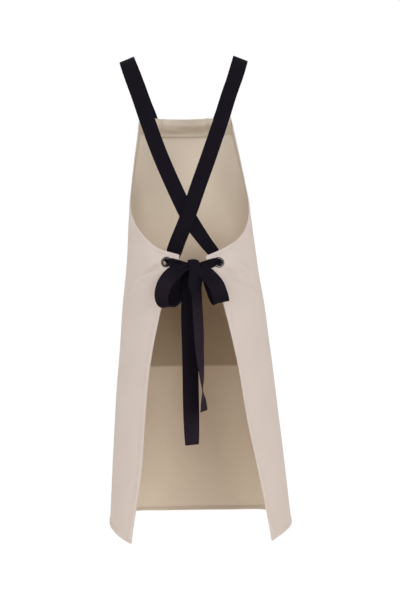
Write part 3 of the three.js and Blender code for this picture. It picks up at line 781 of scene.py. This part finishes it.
fold_v = np.array([[row["v"]] for row in FACING_FOLD])
fold_stand = np.array([[row["stand"]] for row in FACING_FOLD])
behind_v = FOLD_STEP * np.arange(1, len(FACING_FOLD) + 1)[:, None]
all_u = np.concatenate([fold_u, facing_u])
all_v = np.concatenate([fold_v * between_straps + behind_v * beside_straps, facing_down])
all_stand = np.concatenate([fold_stand * between_straps + facing_stand[:1] * beside_straps, facing_stand])
facing_cut = np.stack([all_u, all_v], axis=2)[:, ::-1]
bib_facing = new_sheet("bib_facing_cloth", on_cloth(all_u, all_v, all_stand)[:, ::-1], facing_cut)
# Painted shade: the facing darkens from its fold downwards, as doubled cloth.
set_attribute(bib_facing, "doubled_cloth_shade", FACING_PAINTED_SHADE * ease(*FACING_SHADE_RAMP, facing_cut[..., 1]))
inside_cotton.on(bib_facing)
bib_facing.data.materials.append(cotton.material)
facing_strip = np.arange(len(bib_facing.data.polygons)) // FACING_COLUMNS
bib_facing.data.polygons.foreach_set("material_index", (facing_strip < len(FACING_FOLD) - 1).astype(np.int32))
use_modifier(bib_facing, "SOLIDIFY", thickness=FACING_CLOTH, offset=0)
smooth_shade(bib_facing)
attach(bib_facing, "root")
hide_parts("bib_facing")

seam_v = FACING_DEPTH - FACING_SEAM
seam_half = half_width(seam_v) - ARMHOLE_HEM
facing_seam = np.array([[-seam_half, seam_v], [seam_half, seam_v]])
seam_stand = CLOTH / 2 + FACING_CLOTH + FACING_GAP + FACING_FLARE * ease(0, FLARE_SEAMS, FLARE_SEAMS - 1)
sewn_rows("stitches_facing", [(facing_seam, CLOTH / 2), (facing_seam, -seam_stand)])


# Front pocket: a plain patch of the same cotton sewn on the outside of the skirt's front along its sides and
# foot, with a turned mouth that gapes a little at the middle.
POCKET_GAP = 0.0006
POCKET_GAPE = 0.0024
POCKET_SLACK = 0.6
POCKET_COLUMNS = 90
POCKET_ROWS = 60
POCKET_DEPTH = POCKET_FOOT - POCKET_TOP


def gaping(u, v, stand):
    """How far a place of the pocket is off the skirt, from the stand that it would have without the gape."""
    middle = 1 - (u / POCKET_HALF_WIDTH) ** 2
    slack = 1 - ease(POCKET_TOP, POCKET_TOP + POCKET_SLACK * POCKET_DEPTH, v)
    return stand + POCKET_GAP + POCKET_GAPE * middle * slack


across_pocket = np.linspace(-POCKET_HALF_WIDTH, POCKET_HALF_WIDTH, POCKET_COLUMNS + 1)
down_pocket = np.linspace(POCKET_TOP, POCKET_FOOT, POCKET_ROWS + 1)
pocket_u, pocket_v = np.meshgrid(across_pocket, down_pocket)
pocket_places = on_cloth(pocket_u, pocket_v, gaping(pocket_u, pocket_v, CLOTH))
front_pocket = new_sheet("pocket_cloth", pocket_places, np.stack([pocket_u, pocket_v], axis=2))
use_modifier(front_pocket, "SOLIDIFY", thickness=CLOTH, offset=0)
smooth_shade(front_pocket)
cotton.on(front_pocket)
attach(front_pocket, "root")
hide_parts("front_pocket")

POCKET_SEAM = 0.003
SEAM_START = 0.002
MOUTH_HEM = 0.020
POCKET_FACE = 1.5 * CLOTH
side_u = POCKET_HALF_WIDTH - POCKET_SEAM
foot_v = POCKET_FOOT - POCKET_SEAM
start_v = POCKET_TOP + SEAM_START
mouth_v = POCKET_TOP + MOUTH_HEM
pocket_seam = np.array([[-side_u, start_v], [-side_u, foot_v], [side_u, foot_v], [side_u, start_v]])
mouth_seam = np.array([[-side_u, mouth_v], [side_u, mouth_v]])
mouth_u = evenly_spaced(mouth_seam, STITCH_PITCH)[0][:, 0]
sewn_rows(
    "stitches_pocket",
    [
        (pocket_seam, POCKET_FACE + POCKET_GAP),
        (pocket_seam, -CLOTH / 2),
        (mouth_seam, gaping(mouth_u, mouth_v, POCKET_FACE)),
    ],
)


# Eyelets: brass with a dark gunmetal plating. Each is a domed flange on the outside, with a barrel that goes
# through the cloth and is pressed over a washer inside. The profile's rows are radius and height.
EYELET_SIDES = 64
MERGED_BELOW = 0.00001
GUNMETAL_DARK = (0.062, 0.053, 0.044, 1)
GUNMETAL_LIGHT = (0.135, 0.117, 0.099, 1)
EYELET_PROFILE = [
    (0.0065, -0.0010),
    (0.0067, -0.0015),
    (0.0073, -0.0018),
    (0.0090, -0.0017),
    (0.0104, -0.0015),
    (0.0109, -0.0011),
    (0.0108, -0.0008),
    (0.0078, -0.0008),
    (0.0078, 0.0008),
    (0.0114, 0.0008),
    (0.0115, 0.0011),
    (0.0112, 0.0016),
    (0.0104, 0.0021),
    (0.0094, 0.0024),
    (0.0083, 0.0023),
    (0.0073, 0.0019),
    (0.0067, 0.0013),
    (0.0065, 0.0006),
    (0.0065, -0.0010),
]
gunmetal = Finish("gunmetal_plating", Metallic=1.0, Specular_IOR_Level=0.5)
metal_place = gunmetal.place()
smudge = gunmetal.noise(metal_place, 220.0, 4.0)
scratch = gunmetal.noise(metal_place, 1500.0, 2.0)
gunmetal.show(
    gunmetal.blend(smudge * 0.8 + scratch * 0.2, GUNMETAL_DARK, GUNMETAL_LIGHT),
    0.12 + smudge * 0.14 + scratch * 0.05,
    gunmetal.bump(scratch, 0.0001, 0.15),
)


def close_shell():
    """Joins the seam of the open piece and turns its faces outwards."""
    bpy.ops.object.mode_set(mode="EDIT")
    bpy.ops.mesh.select_all(action="SELECT")
    bpy.ops.mesh.remove_doubles(threshold=MERGED_BELOW)
    bpy.ops.mesh.normals_make_consistent(inside=False)
    bpy.ops.object.mode_set(mode="OBJECT")


for name, side in (("left", -1), ("right", 1)):
    first_radius, first_height = EYELET_PROFILE[0]
    start = (0, 0, first_height)
    bpy.ops.mesh.primitive_circle_add(vertices=EYELET_SIDES, radius=first_radius, location=start)
    eyelet = bpy.context.object
    eyelet.name = f"eyelet_ring_{name}"
    bpy.ops.object.transform_apply(location=True, rotation=True, scale=True)
    bpy.ops.object.mode_set(mode="EDIT")
    bpy.ops.mesh.select_all(action="SELECT")
    for (radius, height), (next_radius, next_height) in zip(EYELET_PROFILE, EYELET_PROFILE[1:]):
        bpy.ops.mesh.extrude_region_move(TRANSFORM_OT_translate={"value": (0, 0, next_height - height)})
        bpy.ops.transform.resize(value=(next_radius / radius, next_radius / radius, 1))
    close_shell()
    hole_middle = Vector(on_cloth(side * EYELET_U, EYELET_V, 0.0))
    hole_out = Vector(table_at(worn_out, side * EYELET_U, EYELET_V))
    eyelet.matrix_world = hole_out.to_track_quat("Z", "Y").to_matrix().to_4x4()
    eyelet.location = hole_middle
    bpy.ops.object.transform_apply(location=True, rotation=True, scale=True)
    smooth_shade(eyelet)
    gunmetal.on(eyelet)
    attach(eyelet, "root")
    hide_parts(f"eyelet_{name}")


# Straps: black herringbone webbing, 32 mm wide. Each is sewn behind the facing at a bib corner, goes up and
# over, crosses the other, goes in behind the far flap, gathers and comes out of the eyelet to the knot.
WEB_WIDTH = 0.032
WEB = 0.0015
WEB_ACROSS = 28
PLEATS = 2.5
PLEAT_DRIFT = ((0.5, 37, 0), (0.3, 91, 1))
WEB_DARK = (0.0050, 0.0034, 0.0053, 1)
WEB_LIGHT = (0.0120, 0.0084, 0.0124, 1)
# Painted sheen: a paler, purple tint standing for light catching the webbing where it turns.
WEB_PAINTED_SHEEN = (0.0260, 0.0145, 0.0210, 1)
WEB_RIB = 0.0014
WEB_CHEVRON = 0.008
WEB_YARNS = (300, 1800, 1)
KNOT_MIDDLE = (0.004, -0.113, -0.440)

webbing = Finish("black_webbing", Sheen_Weight=0.04, Sheen_Roughness=0.35, Specular_IOR_Level=0.05)
web_along, web_across, web_flat = webbing.cut()
from_edge = web_across + WEB_WIDTH / 2
zigzag = webbing.node("ShaderNodeMath", {"operation": "PINGPONG"}, {0: from_edge, 1: WEB_CHEVRON / 2})
web_rib = webbing.sine((web_along + zigzag) * (2 * math.pi / WEB_RIB))
web_yarn = webbing.noise(webbing.stretch(web_flat, WEB_YARNS), 1.0, 2.0)
web_cloud = webbing.noise(web_flat, 60.0, 3.0)
web_tone = web_cloud * 0.5 + web_yarn * 0.4 + web_rib * 0.12
web_black = webbing.blend(web_tone, WEB_DARK, WEB_LIGHT)
# Sheen is painted into the colour here, by the stations' fade.
web_colour = webbing.blend(webbing.attribute("painted_sheen"), web_black, WEB_PAINTED_SHEEN)
web_height = web_rib * 0.6 + web_yarn * 0.6
webbing.show(web_colour, 0.72 + web_yarn * 0.14, webbing.bump(web_height, 0.0003, 0.5))


def leaning(x, y, z):
    return np.array([x - LEAN * z, y, z])


def spline(values, steps):
    """A curve through the rows, straight on at both ends."""
    rows = np.asarray(values, dtype=float)
    padded = np.vstack([2 * rows[0] - rows[1], rows, 2 * rows[-1] - rows[-2]])
    t = np.linspace(0, len(rows) - 1, steps + 1)
    i = np.minimum(t.astype(int), len(rows) - 2)
    f = (t - i)[:, None]
    a, b, c, d = padded[i], padded[i + 1], padded[i + 2], padded[i + 3]
    return 0.5 * (2 * b + (c - a) * f + (2 * a - 5 * b + 4 * c - d) * f**2 + (3 * b - a - 3 * c + d) * f**3)


def unit(vectors):
    return vectors / np.linalg.norm(vectors, axis=-1, keepdims=True)


def web_piece(name, stations, steps):
    """Webbing through stations; cup bows its section, pleat folds it and fade paints sheen on it, a paler
    purple tint.
    """
    places = spline([s["at"] for s in stations], steps)
    facing = spline([unit(np.asarray(s["facing"], dtype=float)) for s in stations], steps)
    measures = [[s["width"], s.get("cup", 0), s.get("pleat", 0), s.get("fade", 0)] for s in stations]
    width, cup, pleat, fade = spline(measures, steps).T
    ahead = unit(np.gradient(places, axis=0))
    wide = unit(np.cross(ahead, facing))
    up = np.cross(wide, ahead)
    run = np.concatenate([[0], np.cumsum(np.linalg.norm(np.diff(places, axis=0), axis=1))])
    part = np.linspace(-0.5, 0.5, WEB_ACROSS + 1)
    drift = sum(size * np.sin(rate * run + start) for size, rate, start in PLEAT_DRIFT)
    uneven = 1 + 0.5 * np.sin(9 * part + 2)
    wave = np.sin(2 * math.pi * PLEATS * part[None, :] + drift[:, None]) * uneven[None, :]
    rise = cup[:, None] * (0.5 - 4 * part**2)[None, :] + pleat[:, None] * wave
    grid = (
        places[:, None, :]
        + wide[:, None, :] * (width[:, None] * part[None, :])[..., None]
        + up[:, None, :] * rise[..., None]
    )
    cut = np.stack(np.broadcast_arrays(run[:, None], WEB_WIDTH * part[None, :]), axis=2)
    piece = new_sheet(name, grid, cut)
    set_attribute(piece, "painted_sheen", np.repeat(np.clip(fade, 0, 1), WEB_ACROSS + 1))
    use_modifier(piece, "SOLIDIFY", thickness=WEB, offset=0)
    smooth_shade(piece)
    webbing.on(piece)
    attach(piece, "root")
    return piece, run[-1]


# Over the top and down behind: depth, height, how far each strap is out to its side, and which way it faces.
# The lift, in shares of CROSSING_LIFT, keeps the straps apart where one crosses the other.
SHOULDER = named("y z right left facing", [
    (0.063, -0.086, 0.088, 0.0898, (0.42, 0.80, 0.42)),
    (0.044, -0.038, 0.1045, 0.1062, (0.40, 0.62, 0.66)),
    (0.021, -0.008, 0.1155, 0.1178, (0.37, 0.30, 0.87)),
    (0.0, 0.0008, 0.119, 0.122, (0.37, 0.0, 0.93)),
    (-0.022, -0.008, 0.1178, 0.121, (0.33, -0.36, 0.87)),
    (-0.052, -0.042, 0.1071, 0.111, (0.25, -0.76, 0.60)),
])
BACK = named("y z right left facing lift", [
    (-0.078, -0.086, 0.0907, 0.0967, (0.20, -0.93, 0.28), 0.3),
    (-0.097, -0.142, 0.0716, 0.0797, (0.10, -0.98, 0.10), 0.3),
    (-0.105, -0.208, 0.0472, 0.0580, (0.0, -1.0, 0.03), 0.3),
    (-0.107, -0.275, 0.0212, 0.0316, (0.0, -1.0, 0.0), 1.0),
    (-0.105, -0.343, -0.005, 0.001, (0.0, -1.0, -0.05), 1.0),
    (-0.098, -0.390, -0.026, -0.0290, (-0.05, -0.98, -0.15), 0.3),
    (-0.087, -0.414, -0.036, -0.0472, (-0.28, -0.95, -0.10), 0.3),
])
NARROWED = {("left", -0.390): 0.0275, ("left", -0.414): 0.0240}
CROSSING_LIFT = {"right": -0.0024, "left": 0.0012}
STRAP_END = 0.024
STRAP_TOP = 0.001
STRAP_SLANT = 0.007
STRAP_GAP = 0.0003
STRAP_STEPS = 300

# Behind the flap the strap gathers. Then it goes through the eyelet: out of the hole, towards the knot,
# facing x and y, width and pleat. From there it goes on to the knot: part of the way, y, z, width and pleat.
STRAP_GATHER = {"right": -0.045, "left": -0.053}
GATHER_Y = -0.0845
GATHER_Z = -0.428
GATHER_FACING = (-0.25, -0.96)
GATHER_WIDTH = 0.021
GATHER_PLEAT = 0.0012
HOLE_REACH = (0.003, 0.006)
HOLE_DROP = {"right": -0.0016, "left": -0.0012}
HOLE_SHIFT = {"right": 0.0004, "left": -0.0046}
HOLE_TILT = {"right": -0.75, "left": 0.0}
STRAP_THROUGH = [
    (-0.008, 0.0030, 0.75, -0.65, 0.0112, 0.0017),
    (-0.003, 0.0020, 0.97, -0.20, 0.0108, 0.0022),
    (0.0022, 0.0028, 0.97, 0.25, 0.0112, 0.0022),
    (0.0062, 0.0078, 0.60, 0.80, 0.0165, 0.0016),
]
STRAP_TO_KNOT = [
    (0.36, -0.0070, -0.0015, 0.0190, 0.0012),
    (0.68, -0.0060, -0.0040, 0.0160, 0.0014),
    (0.94, -0.0010, -0.0045, 0.0120, 0.0016),
]
TO_KNOT_FACING = (0, 1, 0.2)


def station(at, facing, width=WEB_WIDTH, pleat=0):
    return {"at": at, "facing": facing, "width": width, "pleat": pleat}


def strap_stations(name, side):
    behind_cloth = -CLOTH / 2 - STRAP_GAP - WEB / 2
    stations = []
    for u, v in ((STRAP_SEWN_U - STRAP_SLANT / 2, STRAP_END), (STRAP_SEWN_U + STRAP_SLANT / 2, STRAP_TOP)):
        stations.append(station(on_cloth(side * u, v, behind_cloth), table_at(worn_out, side * u, v)))
    for row in SHOULDER:
        x, y, z = row["facing"]
        stations.append(station(leaning(side * row[name], row["y"], row["z"]), (side * x, y, z)))
    for row in BACK:
        x, y, z = row["facing"]
        lift = CROSSING_LIFT[name] * row["lift"]
        width = NARROWED.get((name, row["z"]), WEB_WIDTH)
        at = leaning(side * row[name], row["y"] + lift, row["z"])
        stations.append(station(at, (side * x, y, z), width))
    hole = on_cloth(-side * EYELET_U, EYELET_V, 0.0)
    out = table_at(worn_out, -side * EYELET_U, EYELET_V)
    middle = leaning(*KNOT_MIDDLE)
    gather = leaning(side * STRAP_GATHER[name], GATHER_Y, GATHER_Z)
    gather_facing = (side * GATHER_FACING[0], GATHER_FACING[1], 0)
    stations.append(station(gather, gather_facing, GATHER_WIDTH, GATHER_PLEAT))
    for far, sideways, facing_x, facing_y, width, pleat in STRAP_THROUGH:
        in_hole = 1 - ease(*HOLE_REACH, far)
        across = sideways + HOLE_SHIFT[name] * in_hole
        at = hole + out * far + np.array([side * across, 0, HOLE_DROP[name]])
        facing = (side * facing_x, facing_y, HOLE_TILT[name] * in_hole)
        stations.append(station(at, facing, width, pleat))
    for part, forward, rise, width, pleat in STRAP_TO_KNOT:
        at = hole + (middle - hole) * part + np.array([0, forward, rise])
        stations.append(station(at, TO_KNOT_FACING, width, pleat))
    return stations


for name, side in (("left", -1), ("right", 1)):
    strap, strap_length = web_piece(f"strap_web_{name}", strap_stations(name, side), STRAP_STEPS)
    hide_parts(f"strap_{name}")


# Knot of the bow: the two ties drawn tight round each other, so that the gathered webbing is a small lump
# with ridges that wind round it.
KNOT_WIDE = 0.0170
KNOT_DEEP = 0.0105
KNOT_HIGH = 0.0112
KNOT_SAG = 0.0035
KNOT_BLUNT = 2.6
RIDGE_HEIGHT = 0.07
RIDGE_WAVES = 3.2
RIDGE_WIND = 1.1
KNOT_ROUND = 72
KNOT_ALONG = 48
turn = np.linspace(0, 2 * math.pi, KNOT_ROUND + 1)
along_knot = np.linspace(-1, 1, KNOT_ALONG + 1)
swell = np.sqrt(np.maximum(0.0, 1 - np.abs(along_knot) ** KNOT_BLUNT))
winding = RIDGE_WIND * np.sin(turn)[:, None]
ridge = RIDGE_HEIGHT * np.cos(RIDGE_WAVES * math.pi * along_knot[None, :] + winding)
radius = swell[None, :] * (1 + ridge)
knot_places = np.stack(
    np.broadcast_arrays(
        KNOT_WIDE * along_knot[None, :] + leaning(*KNOT_MIDDLE)[0],
        KNOT_MIDDLE[1] + KNOT_DEEP * radius * np.cos(turn)[:, None],
        KNOT_MIDDLE[2] - KNOT_SAG + KNOT_HIGH * radius * np.sin(turn)[:, None],
    ),
    axis=2,
)
knot_cut = np.stack(np.broadcast_arrays(KNOT_HIGH * turn[:, None], KNOT_WIDE * along_knot[None, :]), axis=2)
knot = new_sheet("knot_web", knot_places, knot_cut)
close_shell()
smooth_shade(knot)
webbing.on(knot)
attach(knot, "root")
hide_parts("knot")


# Bow loops: each tie leaves the knot, falls over the outside, turns under and runs back up behind into the
# knot. The same webbing, pleated at the knot and flat at the turn. Places are from the knot's middle.
# Fade is painted sheen: a paler, purple tint where the webbing catches the light.
BOW_COLUMNS = "x y z facing width cup pleat fade"
LOOPS = {
    "left": named(BOW_COLUMNS, [
        (-0.003, -0.006, 0.002, (-0.20, -0.80, 0.55), 0.013, 0, 0.0016, 0),
        (-0.019, -0.014, -0.0055, (-0.15, -0.88, 0.45), 0.019, 0, 0.0016, 0),
        (-0.0393, -0.020, -0.0152, (-0.20, -0.92, 0.33), 0.0320, 0.003, 0, 0),
        (-0.0564, -0.024, -0.0330, (-0.28, -0.95, 0.15), 0.0320, 0.002, 0, 0.35),
        (-0.0645, -0.026, -0.0505, (-0.40, -0.91, 0.05), 0.0320, 0, 0, 0.35),
        (-0.0672, -0.026, -0.0660, (-0.55, -0.83, -0.08), 0.0320, 0, 0, 0.35),
        (-0.0637, -0.022, -0.0800, (-0.50, -0.65, -0.58), 0.0320, 0, 0, 0),
        (-0.0555, -0.014, -0.0855, (-0.10, -0.15, -0.98), 0.0320, 0, 0, 0),
        (-0.0465, -0.009, -0.0790, (0.35, 0.60, -0.72), 0.0320, 0, 0, 0),
        (-0.0380, -0.005, -0.0640, (0.25, 0.95, -0.20), 0.0320, 0, 0, 0),
        (-0.0285, -0.001, -0.0430, (0.20, 0.97, 0.05), 0.0340, 0.001, 0, 0),
        (-0.0170, 0.003, -0.0220, (0.25, 0.93, 0.20), 0.0210, 0, 0.0012, 0),
        (-0.006, 0.004, -0.0060, (0.30, 0.90, 0.20), 0.0120, 0, 0.0016, 0),
    ]),
    "right": named(BOW_COLUMNS, [
        (0.003, -0.004, 0.005, (0.10, -0.70, 0.70), 0.013, 0, 0.0016, 0),
        (0.0150, -0.012, -0.0045, (0.20, -0.80, 0.55), 0.0200, 0, 0.0012, 0),
        (0.0251, -0.017, -0.0175, (0.15, -0.92, 0.36), 0.0320, 0.003, 0, 0),
        (0.0366, -0.021, -0.0290, (0.15, -0.95, 0.26), 0.0320, 0.002, 0, 0),
        (0.0466, -0.024, -0.0435, (0.12, -0.98, 0.14), 0.0320, 0, 0, 0.2),
        (0.0520, -0.025, -0.0590, (0.12, -0.99, 0.03), 0.0320, 0, 0, 0.2),
        (0.0550, -0.0215, -0.0730, (0.20, -0.80, -0.57), 0.0320, 0, 0, 0),
        (0.0533, -0.014, -0.0772, (0.30, -0.10, -0.95), 0.0320, 0, 0, 0),
        (0.0475, -0.0085, -0.0715, (0.10, 0.80, -0.58), 0.0320, 0, 0, 0),
        (0.0412, -0.005, -0.0540, (-0.05, 0.99, -0.05), 0.0320, 0, 0, 0),
        (0.0340, -0.002, -0.0350, (-0.20, 0.96, 0.10), 0.0300, 0.001, 0, 0),
        (0.0220, 0.001, -0.0180, (-0.25, 0.94, 0.20), 0.0200, 0, 0.0012, 0),
        (0.0050, 0.004, -0.0050, (-0.30, 0.90, 0.20), 0.0120, 0, 0.0016, 0),
    ]),
}
LOOP_STEPS = 120


def from_knot(rows):
    stations = []
    for row in rows:
        x, y, z = (row[axis] + middle for axis, middle in zip("xyz", KNOT_MIDDLE))
        stations.append({**row, "at": leaning(x, y, z)})
    return stations


for name in ("left", "right"):
    loop, loop_length = web_piece(f"bow_loop_web_{name}", from_knot(LOOPS[name]), LOOP_STEPS)
    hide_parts(f"bow_loop_{name}")


# Tails: the two free ends of the ties, which hang from the knot and are cut straight across. The long one
# hangs flat, and the short one comes over the knot and turns edge-on as it falls.
# The fade column paints sheen on the short tail and on the long tail's foot.
TAILS = {
    "tail_long": named(BOW_COLUMNS, [
        (-0.004, -0.002, -0.006, (0.0, -1.0, 0.0), 0.013, 0, 0, 0),
        (-0.009, -0.008, -0.030, (-0.10, -1.0, 0.0), 0.024, 0, 0, 0),
        (-0.0120, -0.011, -0.090, (-0.05, -1.0, 0.0), 0.032, 0, 0, 0),
        (-0.0128, -0.011, -0.184, (0.05, -1.0, 0.0), 0.0325, 0, 0, 0),
        (-0.0144, -0.011, -0.276, (0.06, -1.0, 0.0), 0.0328, 0, 0, 0.06),
        (-0.0151, -0.011, -0.344, (0.40, -0.92, 0.0), 0.0328, 0, 0, 0.55),
        (-0.0151, -0.011, -0.3678, (0.58, -0.81, 0.0), 0.0328, 0, 0, 0.65),
    ]),
    "tail_short": named(BOW_COLUMNS, [
        (0.000, 0.009, -0.003, (0.0, 1.0, 0.30), 0.019, 0, 0.0008, 0),
        (-0.001, 0.006, 0.0060, (0.0, 0.50, 0.85), 0.020, 0, 0.0006, 0),
        (-0.001, -0.003, 0.0100, (0.0, -0.30, 0.95), 0.021, 0.0026, 0, 0),
        (0.001, -0.012, 0.0055, (0.0, -0.85, 0.50), 0.022, 0.0030, 0, 0),
        (0.003, -0.0165, -0.006, (0.05, -1.0, 0.10), 0.024, 0.0030, 0, 0),
        (0.0045, -0.0185, -0.018, (0.10, -1.0, 0.10), 0.027, 0.003, 0, 0),
        (0.003, -0.020, -0.033, (0.20, -0.98, 0.0), 0.029, 0.003, 0, 0),
        (0.003, -0.021, -0.047, (0.60, -0.80, 0.0), 0.031, 0.002, 0, 0),
        (0.005, -0.022, -0.061, (0.78, -0.63, 0.0), 0.032, 0, 0, 0.06),
        (0.0056, -0.0235, -0.082, (0.80, -0.60, 0.0), 0.032, 0, 0, 0.4),
        (0.0066, -0.0245, -0.132, (0.80, -0.60, 0.0), 0.032, 0, 0, 0.8),
        (0.0074, -0.025, -0.182, (0.88, -0.47, 0.0), 0.032, 0, 0, 0.8),
        (0.0096, -0.025, -0.228, (0.97, -0.24, 0.0), 0.032, 0, 0, 0.75),
        (0.0101, -0.025, -0.256, (1.0, -0.02, 0.0), 0.032, 0, 0, 0.75),
        (0.0113, -0.025, -0.275, (0.97, -0.25, 0.0), 0.032, 0, 0, 0.75),
        (0.0116, -0.0245, -0.290, (0.93, -0.37, 0.0), 0.032, 0, 0, 0.75),
        (0.0114, -0.024, -0.298, (0.91, -0.42, 0.0), 0.032, 0, 0, 0.75),
    ]),
}
TAIL_STEPS = 130
for name, rows in TAILS.items():
    tail, tail_length = web_piece(f"{name}_web", from_knot(rows), TAIL_STEPS)
    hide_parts(name)


# Floor and light: a pale studio floor well below the hem and a lit white backdrop ahead of the apron. Large
# soft lamps stand on both sides of the camera, high to both sides, beside each flap and at the camera.
FLOOR_Z = -1.45
FLOOR_SIZE = 2.7
PAPER_DARK = (0.92, 0.87, 0.80, 1)
PAPER_LIGHT = (0.96, 0.91, 0.84, 1)
bpy.ops.mesh.primitive_plane_add(size=FLOOR_SIZE, location=(0, 0, FLOOR_Z))
floor = bpy.context.object
floor.name = "studio_floor"
paper = Finish("white_paper", Roughness=0.9)
paper_tone = paper.noise(paper.place(), 3.0, 2.0)
paper.feed(paper.surface.inputs["Base Color"], paper.blend(paper_tone, PAPER_DARK, PAPER_LIGHT))
paper.on(floor)

# The backdrop gives light from ahead alone, rising across a band at the middle, and the camera sees it white.
BACKDROP_LIGHT = 0.62
BACKDROP_BAND = 0.25
BACKDROP_SEEN = 1.02
PLAIN_MIX_FIRST = 2
PLAIN_MIX_SECOND = 3
surround = bpy.data.worlds.new("white_backdrop")
surround.use_nodes = True
sky = surround.node_tree
backdrop = sky.nodes["Background"]
backdrop.inputs["Color"].default_value = (1, 1, 1, 1)
towards = sky.nodes.new("ShaderNodeTexCoord")
direction = sky.nodes.new("ShaderNodeSeparateXYZ")
sky.links.new(towards.outputs["Generated"], direction.inputs[0])
glow = sky.nodes.new("ShaderNodeMapRange")
glow.inputs["From Min"].default_value = -BACKDROP_BAND
glow.inputs["From Max"].default_value = BACKDROP_BAND
glow.inputs["To Max"].default_value = BACKDROP_LIGHT
sky.links.new(direction.outputs["Y"], glow.inputs["Value"])
seen = sky.nodes.new("ShaderNodeLightPath")
strength = sky.nodes.new("ShaderNodeMix")
strength.inputs[PLAIN_MIX_SECOND].default_value = BACKDROP_SEEN
sky.links.new(seen.outputs["Is Camera Ray"], strength.inputs[MIX_PART])
sky.links.new(glow.outputs[0], strength.inputs[PLAIN_MIX_FIRST])
sky.links.new(strength.outputs[0], backdrop.inputs["Strength"])
bpy.context.scene.world = surround
bpy.context.scene.view_settings.view_transform = "Standard"

LIT_PLACE = Vector((0, 0, -0.5))
LAMP_TINT = (0.93, 1.0, 1.125)
LAMP_SIZE = 1.8
LAMPS = named("name place watts", [
    ("soft_lamp_right", (1.7, -2.5, 0.3), 43),
    ("soft_lamp_left", (-2.1, -2.3, 0.1), 24),
    ("soft_lamp_right_high", (2.2, -1.4, 1.1), 21),
    ("soft_lamp_left_high", (-2.2, -1.4, 1.1), 27),
    ("soft_lamp_right_side", (2.6, -0.8, -0.6), 7),
    ("soft_lamp_left_side", (-2.6, -0.8, -0.6), 10),
    ("soft_lamp_front", (0.0, -3.1, -0.4), 15),
])
for row in LAMPS:
    bpy.ops.object.light_add(type="AREA", location=row["place"])
    lamp = bpy.context.object
    lamp.name = row["name"]
    lamp.data.shape = "DISK"
    lamp.data.size = LAMP_SIZE
    lamp.data.energy = row["watts"]
    lamp.data.color = LAMP_TINT
    lamp.rotation_euler = (LIT_PLACE - Vector(row["place"])).to_track_quat("-Z", "Y").to_euler()
